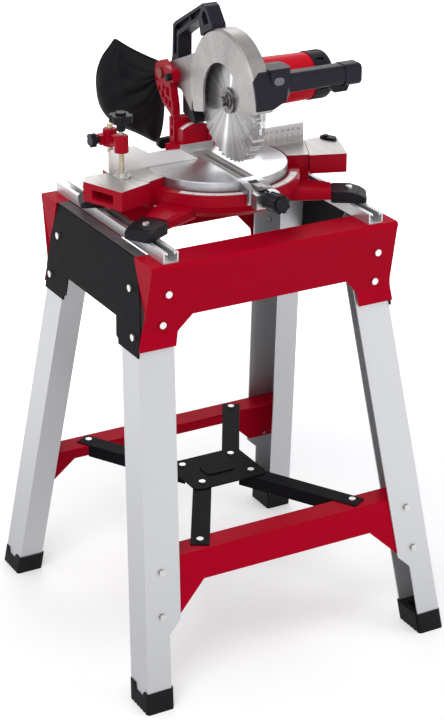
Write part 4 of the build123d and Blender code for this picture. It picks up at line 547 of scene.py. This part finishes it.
# the fan: two narrow bright wedges opposite each other, and fine spokes round the turn
blade_turn = rz.math("ARCTAN2", ry)
along_fan = (blade_turn - FAN_TURN).math("COSINE").math("ABSOLUTE")
broad = along_fan.math("POWER", 3.0)
narrow = along_fan.math("POWER", 220.0)
spokes = blade_steel.noise(4.5, 4, 0.75, place=blade_steel.around(blade_turn))
tone = blade_steel.step(broad * 0.10 + spokes * 0.78 + blade_rings * 0.12, 0.26, 0.78)
plain = blade_steel.blend(tone, (0.19, 0.18, 0.18), (0.56, 0.55, 0.55))
blade_colour = blade_steel.blend(narrow, plain, (1.0, 1.0, 1.0))
blade_steel.set("Base Color", blade_steel.blend(carbide, blade_colour, (0.34, 0.33, 0.33)))
blade_steel.set("Roughness", blade_steel.spread(blade_rings, 0.22, 0.40))
blade_steel.bump(blade_rings, 0.04, 0.7)
dress(blade_steel, "blade")

core_steel = plated_steel("motor_core", (0.45, 0.30, 0.20), (0.20, 0.18, 0.17), 0.45)
dress(core_steel, "armature", "stator")
print("steel on bolts, rods, shafts, motor core and blade")

# %% [markdown]
# ## The clear lower guard
# A moulded window of clear plastic with faint radial ribs, scuffed by sawdust. It is mostly
# see-through; a white highlight along the ribs is painted into the colour, the scuffs whiten it, and alpha
# follows both.

# %% Clear guard
clear_guard = Finish("clear_guard", (0.62, 0.66, 0.67), 0.10, 0.0)
edge_y = clear_guard.y - BLADE_AT[0]
edge_z = clear_guard.z - BLADE_AT[1]
edge_radius = (edge_y * edge_y + edge_z * edge_z).math("SQRT")
edge = clear_guard.step(edge_radius, BLADE_R + 0.0010, BLADE_R + 0.0025)
rib_turn = edge_z.math("ARCTAN2", edge_y)
rib_place = clear_guard.node(
    "ShaderNodeCombineXYZ", None,
    {0: rib_turn.math("COSINE"), 1: rib_turn.math("SINE"), 2: edge_radius * 3},
).outputs[0]
ribs = clear_guard.noise(13, 3, 0.65, place=rib_place)
scuff = clear_guard.noise(70, 3)
# painted highlight: white colour and more alpha where the rib noise is high, standing in for light caught by
# the ribs
rib_painted_highlight = clear_guard.step(ribs, 0.52, 0.62)
clear_guard.set("Base Color", clear_guard.blend(rib_painted_highlight, (0.30, 0.29, 0.295), (0.95, 0.955, 0.97)))
clear_guard.set("Alpha", rib_painted_highlight * 0.24 + clear_guard.step(scuff, 0.45, 0.70) * 0.16 + edge * 0.25 + 0.10)
clear_guard.set("Roughness", clear_guard.spread(scuff, 0.06, 0.22))
clear_guard.bump(ribs, 0.30, 0.4)
dress(clear_guard, "lower_guard")
print("lower guard is clear")

# %% [markdown]
# ## The printed mitre scale
# The white strip carries one tick for each degree and a longer one for each five. Its angle is
# measured about the table's axis, so the ticks are worked out from that angle in the shader.

# %% Mitre scale
scale_print = Finish("mitre_scale_print", (0.80, 0.80, 0.78), 0.38)
turn = scale_print.x.math("ARCTAN2", scale_print.y * -1.0) * (180 / math.pi)
from_rim = (scale_print.x * scale_print.x + scale_print.y * scale_print.y).math("SQRT")


def ticks(angle, every, width):
    """1 within half a tick's width of each multiple of so many degrees."""
    phase = (angle / every + 200.5).math("FRACT") - 0.5
    return phase.math("ABSOLUTE") * every < width / 2


fine = ticks(turn, 1.0, 0.18) * (from_rim < 0.1200)
coarse = ticks(turn, 5.0, 0.28) * (from_rim < 0.1215)
ink = fine.math("MAXIMUM", coarse) * (turn.math("ABSOLUTE") < 50.5)
grime = scale_print.noise(60, 3)
paper = scale_print.blend(grime, (0.74, 0.74, 0.72), (0.86, 0.86, 0.84))
band = (from_rim > 0.1172) * (from_rim < 0.1275) * (turn.math("ABSOLUTE") < 55)
printed_face = scale_print.blend(ink, paper, (0.45, 0.22, 0.22))
scale_print.set("Base Color", scale_print.blend(band, (0.350, 0.0010, 0.012), printed_face))
dress(scale_print, "mitre_scale")
print("mitre scale ticks to 50 degrees")

# %% [markdown]
# ## Surfaces from grids
# New pieces are grids of points: two numbers name a place on the surface and a formula says where
# it lies. One helper turns such a grid into a mesh, joins its edges where it closes, and gives it
# smooth shading.


# %% Grid to mesh
def grid_piece(name, points, body, finish, wrap_rows=False, wrap_columns=False):
    """A mesh from a grid of points: each cell becomes a four-sided face. Points that fall
    together, as at a pole, are merged, and the faces are turned outwards."""
    rows, columns = points.shape[:2]
    index = np.arange(rows * columns).reshape(rows, columns)
    if wrap_rows:
        index = np.vstack([index, index[:1]])
    if wrap_columns:
        index = np.hstack([index, index[:, :1]])
    faces = np.stack([index[:-1, :-1], index[1:, :-1], index[1:, 1:], index[:-1, 1:]], -1).reshape(-1, 4)
    mesh = bpy.data.meshes.new(name)
    mesh.from_pydata(points.reshape(-1, 3).tolist(), [], faces.tolist())
    work = bmesh.new()
    work.from_mesh(mesh)
    bmesh.ops.remove_doubles(work, verts=work.verts, dist=1e-6)
    bmesh.ops.recalc_face_normals(work, faces=work.faces)
    work.to_mesh(mesh)
    work.free()
    mesh.shade_smooth()
    mesh.materials.append(finish.material)
    piece = bpy.data.objects.new(name, mesh)
    bpy.context.scene.collection.objects.link(piece)
    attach(piece, body)
    return piece


print("grid helper ready")

# %% [markdown]
# ## Printed numbers
# Dials need figures. A text curve is turned into a mesh first and then carried to its place by
# one matrix, so the finished piece stays at the origin, and all figures of a dial are one mesh.

# %% Figures
ink_finish = Finish("dial_ink", (0.035, 0.030, 0.032), 0.5)
ink_cloud = ink_finish.noise(900, 2)
ink_finish.set("Base Color", ink_finish.blend(ink_cloud, (0.025, 0.022, 0.024), (0.060, 0.052, 0.055)))
ink_finish.set("Roughness", ink_finish.spread(ink_cloud, 0.42, 0.60))


def figures(name, entries, height, body, finish):
    """One mesh of flat figures: each entry is a text with its origin, its reading direction and
    its upward direction, and a point (u, v) of the text lands at origin + u * reading + v * up."""
    vertices = []
    faces = []
    for text, at, reading, up in entries:
        curve = bpy.data.curves.new("figure", "FONT")
        curve.body = text
        curve.size = height * 1.4
        curve.align_x = "CENTER"
        curve.align_y = "CENTER"
        curve.resolution_u = 3
        holder = bpy.data.objects.new("figure", curve)
        flat = bpy.data.meshes.new_from_object(holder)
        grid = np.array([v.co for v in flat.vertices])
        placed = np.array(at) + grid[:, :1] * np.array(reading) + grid[:, 1:2] * np.array(up)
        faces += [[len(vertices) + i for i in polygon.vertices] for polygon in flat.polygons]
        vertices += placed.tolist()
        bpy.data.objects.remove(holder)
        bpy.data.curves.remove(curve)
        bpy.data.meshes.remove(flat)
    mesh = bpy.data.meshes.new(name)
    mesh.from_pydata(vertices, [], faces)
    mesh.validate()
    mesh.materials.append(finish.material)
    piece = bpy.data.objects.new(name, mesh)
    bpy.context.scene.collection.objects.link(piece)
    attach(piece, body)
    return piece


SCALE_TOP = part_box("mitre_scale")[1][2]
DIAL_R = 0.1246
dial = []
for degrees in (-45, -30, -15, 0, 15, 30, 45):
    a = math.radians(degrees)
    at = (DIAL_R * math.sin(a), -DIAL_R * math.cos(a), SCALE_TOP + 0.00012)
    dial.append((str(abs(degrees)), at, (math.cos(a), math.sin(a), 0), (-math.sin(a), math.cos(a), 0)))
dial_figures = figures("mitre_figures", dial, 0.0034, "stand", ink_finish)
print("mitre figures:", len(dial_figures.data.polygons), "faces")

# %% [markdown]
# ## The rule on the right fence
# The right fence is printed as a rule: thin lines each two millimetres, longer ones each ten, with
# the distance from the cut in centimetres above them. The lines are worked out in the shader.

# %% Rule on the fence
rule_finish = Finish("printed_fence", (0.66, 0.62, 0.62), 0.40, 0.45)
rule_band = rule_finish.noise(1, 4, 0.6, (8, 600, 500))


def rule_lines(every, low, high, width):
    """1 on lines across the fence at each multiple of a length, between two heights."""
    phase = (rule_finish.x / every + 100.5).math("FRACT") - 0.5
    line = phase.math("ABSOLUTE") * every < width / 2
    return line * (rule_finish.z > TABLE_TOP + low) * (rule_finish.z < TABLE_TOP + high)


short_lines = rule_lines(0.002, 0.0015, 0.0115, 0.00045)
printed = short_lines.math("MAXIMUM", rule_lines(0.010, 0.0015, 0.0165, 0.0007))
front_face = (rule_finish.y < 0.0195) * (rule_finish.x > 0.064)
rule_metal = rule_finish.blend(rule_band, (0.52, 0.49, 0.49), (0.70, 0.67, 0.67))
rule_finish.set("Base Color", rule_finish.blend(printed * front_face, rule_metal, (0.06, 0.035, 0.04)))
rule_finish.set("Roughness", rule_finish.spread(rule_band, 0.34, 0.50))
rule_finish.bump(rule_band, 0.03, 0.4)
dress(rule_finish, "fence_right")
FENCE_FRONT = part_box("fence_right")[0][1]
rule = [
    (str(tens), (tens * 0.010, FENCE_FRONT - 0.00012, TABLE_TOP + 0.0225), (1, 0, 0), (0, 0, 1))
    for tens in range(10, 17)
]
figures("rule_figures", rule, 0.0052, "stand", ink_finish)
print("rule from", rule[0][0], "to", rule[-1][0], "centimetres")

# %% [markdown]
# ## The dust bag
# The bag is two panels of black coated cloth sewn round their edge, hung from the elbow by its
# neck. It is modelled as a pillow: a closed outline in the bag's upright plane, with two skins
# that swell from the seam. The lower half holds the dust, so it is thicker; folds run out from
# the neck and pull at the top corner.

# %% Bag cloth
bag_cloth = Finish("bag_cloth", (0.0065, 0.006, 0.007), 0.60, 0.0, Specular_IOR_Level=0.10)
THREADS = 1500  # to the metre
warp = bag_cloth.noise(1, 2, 0.5, (THREADS, THREADS, 160))
weft = bag_cloth.noise(1, 2, 0.5, (160, 160, THREADS))
weave = warp * 0.5 + weft * 0.5
bag_cloth.set("Base Color", bag_cloth.blend(weave, (0.0042, 0.0038, 0.0046), (0.0110, 0.0100, 0.0120)))
bag_cloth.set("Roughness", bag_cloth.spread(weave, 0.48, 0.72))
bag_cloth.bump(weave, 0.15, 0.6)
print("cloth has", THREADS, "threads to the metre")

# %% Bag shell
BAG_START = np.array([0.043, 0.165, 0.0])
BAG_ALONG = np.array([-0.755, 0.656, 0.0])
BAG_ACROSS = np.array([0.656, 0.755, 0.0])
BAG_OUTLINE = np.array([
    (44, 884), (56, 888), (72, 894), (92, 902), (110, 911), (123, 919), (127, 919.5), (130, 914),
    (139, 902), (149, 888), (157, 866), (159, 845), (157, 818), (150, 799), (137, 784), (120, 774),
    (95, 766), (76, 758), (64, 752), (59, 751), (56, 754), (51, 766), (47, 790), (45, 820), (44, 846),
    (43, 865),
]) * MM
BAG_MIDDLE = np.array([94, 836]) * MM
BAG_THICK = 25 * MM


def closed_curve(corners, count, rounds=2):
    """Corner-cut the polygon a few times (Chaikin), then read points at equal steps round it."""
    curve = corners
    for _ in range(rounds):
        ahead = np.roll(curve, -1, axis=0)
        curve = np.stack([0.75 * curve + 0.25 * ahead, 0.25 * curve + 0.75 * ahead], 1).reshape(-1, 2)
    loop = np.vstack([curve, curve[:1]])
    run = np.concatenate([[0], np.cumsum(np.linalg.norm(np.diff(loop, axis=0), axis=1))])
    steps = np.linspace(0, run[-1], count, endpoint=False)
    return np.stack([np.interp(steps, run, loop[:, i]) for i in range(2)], 1)


def bag_shell(rounds=160, rings=44):
    """Rings shrink from the seam to the middle on each side; the swell is a flattened half circle
    that is fuller low down, and folds are sine waves in the angle about the neck."""
    rim = closed_curve(BAG_OUTLINE, rounds)
    reach = np.sin(np.linspace(0, np.pi, 2 * rings + 1))[:, None, None]
    side = np.sign(np.linspace(-1, 1, 2 * rings + 1))[:, None]
    flat = BAG_MIDDLE + (rim[None] - BAG_MIDDLE) * reach
    r = reach[..., 0]
    low = np.clip((0.90 - flat[..., 1]) / 0.14, 0, 1)
    swell = BAG_THICK * (0.62 + 0.38 * low) * (1 - r**3.2) ** 0.62
    along = flat[..., 0] - 0.040
    up = flat[..., 1] - 0.866
    angle = np.arctan2(up, along)
    far = np.hypot(along, up)
    ridge = np.abs(np.sin(angle * 8 + 1.6 * np.sin(far * 38))) ** 0.6 - 0.6
    folds = ridge * np.exp(-far / 0.09) * 5.0
    from_tip = np.hypot(flat[..., 0] - 0.120, flat[..., 1] - 0.916)
    tip_angle = np.arctan2(flat[..., 1] - 0.916, flat[..., 0] - 0.120)
    folds += np.sin(tip_angle * 11 + from_tip * 25) * np.exp(-from_tip / 0.055) * 3.4
    crease = flat[..., 0] * 0.8 + flat[..., 1] * 0.6
    folds += np.sin(crease * 130 + 2.5 * np.sin(flat[..., 1] * 45)) * 1.5
    folds += np.sin(flat[..., 0] * 150 + side * 1.1) * np.clip((0.805 - flat[..., 1]) / 0.04, 0, 1) * 1.8
    depth = side * (swell + folds * MM * (1 - r**4) * np.clip(swell / 0.012, 0, 1))
    points = BAG_START + flat[..., :1] * BAG_ALONG + depth[..., None] * BAG_ACROSS
    points[..., 2] = flat[..., 1]
    return points


bag = grid_piece("dust_bag_cloth", bag_shell(), "head", bag_cloth, wrap_columns=True)


def bag_seam(around=10, radius=1.5 * MM):
    """A piped edge: a thin round cord carried along the bag's outline, so each point is the
    outline's point plus a circle spanned by the outward direction and the bag's thickness."""
    rim = closed_curve(BAG_OUTLINE, 200)
    ahead = np.roll(rim, -1, axis=0) - np.roll(rim, 1, axis=0)
    out = np.stack([ahead[:, 1], -ahead[:, 0]], 1) / np.linalg.norm(ahead, axis=1)[:, None]
    turn = np.linspace(0, 2 * np.pi, around, endpoint=False)
    flat = rim[:, None] + out[:, None] * (np.cos(turn)[None, :, None] * radius)
    points = BAG_START + flat[..., :1] * BAG_ALONG + (np.sin(turn) * radius)[None, :, None] * BAG_ACROSS
    points[..., 2] = flat[..., 1]
    return points


grid_piece(
    "dust_bag_seam", bag_seam(), "head", bag_cloth, wrap_rows=True, wrap_columns=True
)
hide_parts("dust_bag")
print("bag has", len(bag.data.polygons), "faces")

# %% [markdown]
# ## The bevel scale
# A white strip lies on the round top of the bracket behind the blade. It is a band of the barrel,
# a fraction of a millimetre proud, and its ticks run along the tilt axis.

# %% Bevel scale
BARREL_R = 43 * MM
BARREL_HALF = 26 * MM
arc_half = math.asin(BARREL_HALF / BARREL_R) * 0.97
arc = np.linspace(-arc_half, arc_half, 49)
profile = np.array([(64.2, 0.0), (64.4, 0.35), (73.6, 0.35), (73.8, 0.0)]) * MM
strip = np.empty((len(arc), len(profile), 3))
strip[..., 0] = np.sin(arc)[:, None] * (BARREL_R + profile[:, 1])
strip[..., 1] = profile[:, 0]
strip[..., 2] = TABLE_TOP + np.cos(arc)[:, None] * (BARREL_R + profile[:, 1])
bevel_print = Finish("bevel_scale_print", (0.80, 0.80, 0.78), 0.38)
lean = bevel_print.x.math("ARCTAN2", bevel_print.z - TABLE_TOP) * (180 / math.pi)
short = ticks(lean, 5.0, 0.6) * (bevel_print.y < 0.0685)
bevel_print.set("Base Color", bevel_print.blend(short, (0.80, 0.80, 0.78), (0.04, 0.04, 0.04)))
grid_piece("bevel_scale", strip, "table", bevel_print)
print("bevel scale spans", round(2 * math.degrees(arc_half), 1), "degrees")
